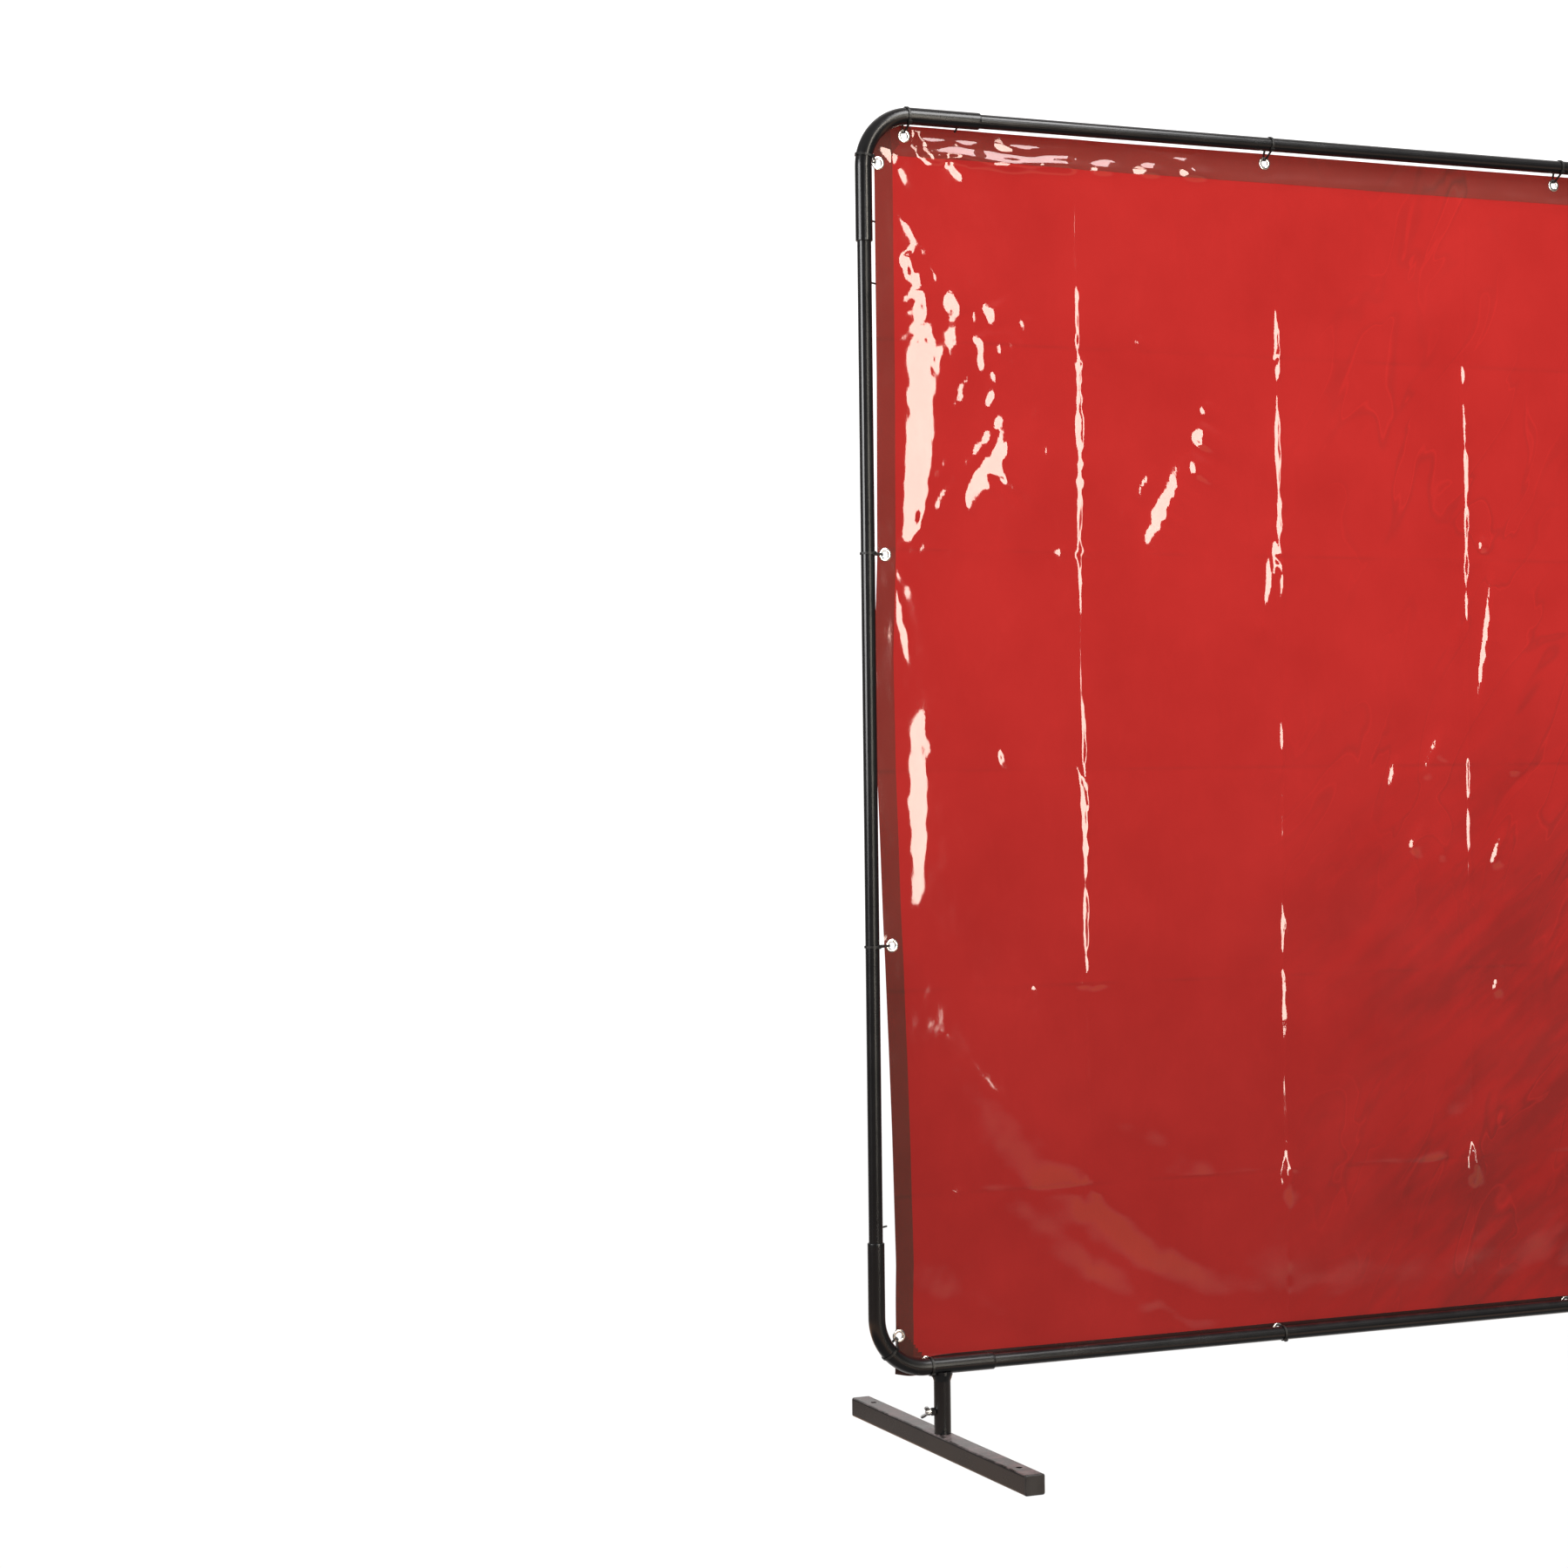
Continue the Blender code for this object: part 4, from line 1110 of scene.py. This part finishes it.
def make_hems(lines_u, lines_v, points, skip):
    """Second layer of film, folded back along each edge and welded down, and the corners' third layer."""
    left, corner_left = np.searchsorted(lines_u, (HEM_SIDE, CORNER_FOLD))
    right, corner_right = np.searchsorted(lines_u, (CURTAIN_WIDTH - HEM_SIDE, CURTAIN_WIDTH - CORNER_FOLD))
    top, corner_top = np.searchsorted(lines_v, (HEM_TOP, CORNER_FOLD))
    low_places = (CURTAIN_HEIGHT - HEM_BOTTOM, CURTAIN_HEIGHT - CORNER_FOLD)
    bottom, corner_bottom = np.searchsorted(lines_v, low_places)
    rows, columns = points.shape[:2]
    layer = points.copy()
    layer[..., 1] -= 3 * FILM_LAYER
    parts = {
        "hem_left": (slice(0, rows), slice(0, left + 1)),
        "hem_right": (slice(0, rows), slice(right, columns)),
        "hem_top": (slice(0, top + 1), slice(0, columns)),
        "hem_bottom": (slice(bottom, rows), slice(0, columns)),
        "corner_top_left": (slice(0, corner_top), slice(0, corner_left)),
        "corner_top_right": (slice(0, corner_top), slice(corner_right, columns)),
        "corner_bottom_left": (slice(corner_bottom, rows), slice(0, corner_left)),
        "corner_bottom_right": (slice(corner_bottom, rows), slice(corner_right, columns)),
    }
    from_side = np.minimum(lines_u, CURTAIN_WIDTH - lines_u)
    from_end = np.minimum(lines_v, CURTAIN_HEIGHT - lines_v)
    beyond = from_side[None, 1:] + from_end[1:, None] > CORNER_FOLD
    hems = []
    for number, (name, (part_rows, part_columns)) in enumerate(parts.items()):
        strip = layer[part_rows, part_columns].copy()
        strip[..., 1] -= FILM_LAYER * min(number // 2, 2)
        cells = slice(part_rows.start, part_rows.stop - 1), slice(part_columns.start, part_columns.stop - 1)
        cut = skip[cells] | beyond[cells] if name.startswith("corner") else skip[cells]
        # The bottom hem takes the dark folded film, painted shade behind the bottom rail
        material = SHADED_FOLDED_FILM if name == "hem_bottom" else HEM_FILM
        hems.append(add_piece(name, grid_mesh(name, strip, cut), material))
    return hems


# -------- stage

FLOOR_RADIUS = 60
FLOOR_SIDES = 96
FLOOR_DROP = 0.0005


def make_floor():
    """Round white floor just under the feet."""
    bm = bmesh.new()
    bmesh.ops.create_circle(bm, cap_ends=True, radius=FLOOR_RADIUS, segments=FLOOR_SIDES)
    mesh = bpy.data.meshes.new("floor")
    bm.to_mesh(mesh)
    bm.free()
    mesh.materials.append(floor_material())
    obj = bpy.data.objects.new("floor", mesh)
    obj.location.z = cad_low.z - FLOOR_DROP
    bpy.context.scene.collection.objects.link(obj)


WHITE = (1, 1, 1, 1)
FLOOR_TINT = (1.0, 0.55, 0.32, 1)
ROOM_DARK = 0.09


def make_world():
    """White backdrop to the eye. The light is bright from behind, dim in front and warm from the floor."""
    world = bpy.data.worlds.new("studio")
    bpy.context.scene.world = world
    n = Nodes(world)
    n.tree.nodes.clear()
    direction = n.add("ShaderNodeTexCoord").outputs["Generated"]
    x, y, z = n.add("ShaderNodeSeparateXYZ", {0: direction}).outputs
    behind = n.soft_remap(y, 0.0, 0.5, ROOM_DARK, 1.0)
    not_left = n.soft_remap(x, -0.42, -0.08, 0.15, 1.0)
    below = n.soft_remap(z, -0.19, -0.32, ROOM_DARK, 1.0)
    far_floor = n.soft_remap(z, -0.36, -0.50, 1.0, 0.08)
    floor_glow = n.maths("MULTIPLY", below, far_floor)
    ceiling = n.soft_remap(z, 0.25, 0.60, ROOM_DARK, 0.40)
    room = n.maths("MAXIMUM", n.maths("MULTIPLY", behind, not_left), floor_glow)
    room = n.maths("MAXIMUM", room, ceiling)
    warmth = n.mix(floor_glow, WHITE, FLOOR_TINT)
    lighting = n.add("ShaderNodeBackground", {"Color": warmth, "Strength": room})
    white_wall = n.soft_remap(z, -0.16, 0.06, 1.02, 1.34)
    backdrop = n.add("ShaderNodeBackground", {"Color": WHITE, "Strength": white_wall})
    seen = n.add("ShaderNodeLightPath").outputs["Is Camera Ray"]
    mixed = n.add("ShaderNodeMixShader", {0: seen, 1: lighting.outputs[0], 2: backdrop.outputs[0]})
    n.add("ShaderNodeOutputWorld", {0: mixed.outputs[0]})


def softbox(name, place, aim, size, radiance, colour=(1, 1, 1)):
    """Rectangular studio light of even brightness, which the camera doesn't see."""
    width, height = size
    light = bpy.data.lights.new(name, "AREA")
    light.shape = "RECTANGLE"
    light.size = width
    light.size_y = height
    light.color = colour
    light.energy = radiance * math.pi * width * height
    obj = bpy.data.objects.new(name, light)
    bpy.context.scene.collection.objects.link(obj)
    obj.location = place
    obj.rotation_euler = (Vector(aim) - Vector(place)).to_track_quat("-Z", "Y").to_euler()
    obj.visible_camera = False


KEY_COLOUR = (1.0, 0.93, 0.80)


def make_lights():
    """Two warm key panels, whose reflections make the film's glints, and three white ones."""
    softbox("key", (0.42, -4.0, 1.43), (-0.6, 0, 1.1), (0.60, 2.68), 18, KEY_COLOUR)
    softbox("key_high", (0.42, -4.0, 3.50), (-0.6, 0, 1.7), (0.55, 1.0), 13, KEY_COLOUR)
    softbox("strip", (-1.30, -4.2, 1.55), (-0.9, 0, 1.2), (0.42, 1.6), 11)
    softbox("side", (-4.9, -0.5, 1.95), (-0.9, 0, 1.6), (2.0, 1.95), 11)
    softbox("overhead", (0.3, -1.7, 3.7), (0.0, 0, 1.8), (1.4, 1.4), 11)


# -------- camera

CAMERA_PLACE = (-2.6842, -3.8982, 0.9630)
CAMERA_YAW = 22.73
CAMERA_PITCH = 0.21
CAMERA_ROLL = 0.68
CAMERA_LENS = 70.25


def make_camera():
    """Camera left of the screen's middle and turned right, so that the picture holds its left part."""
    data = bpy.data.cameras.new("camera")
    data.lens = CAMERA_LENS
    data.sensor_width = 36
    data.clip_end = 200
    obj = bpy.data.objects.new("camera", data)
    bpy.context.scene.collection.objects.link(obj)
    turn = Matrix.Rotation(math.radians(-CAMERA_YAW), 4, "Z")
    tilt = Matrix.Rotation(math.radians(90 - CAMERA_PITCH), 4, "X")
    roll = Matrix.Rotation(math.radians(-CAMERA_ROLL), 4, "Z")
    obj.matrix_world = Matrix.Translation(CAMERA_PLACE) @ turn @ tilt @ roll
    bpy.context.scene.camera = obj


def main():
    finish_cad_nodes()
    make_elbows()
    make_pins()
    make_curtain(make_eyelets())
    make_floor()
    make_world()
    make_lights()
    make_camera()
    bpy.context.scene.view_settings.view_transform = "Standard"


main()
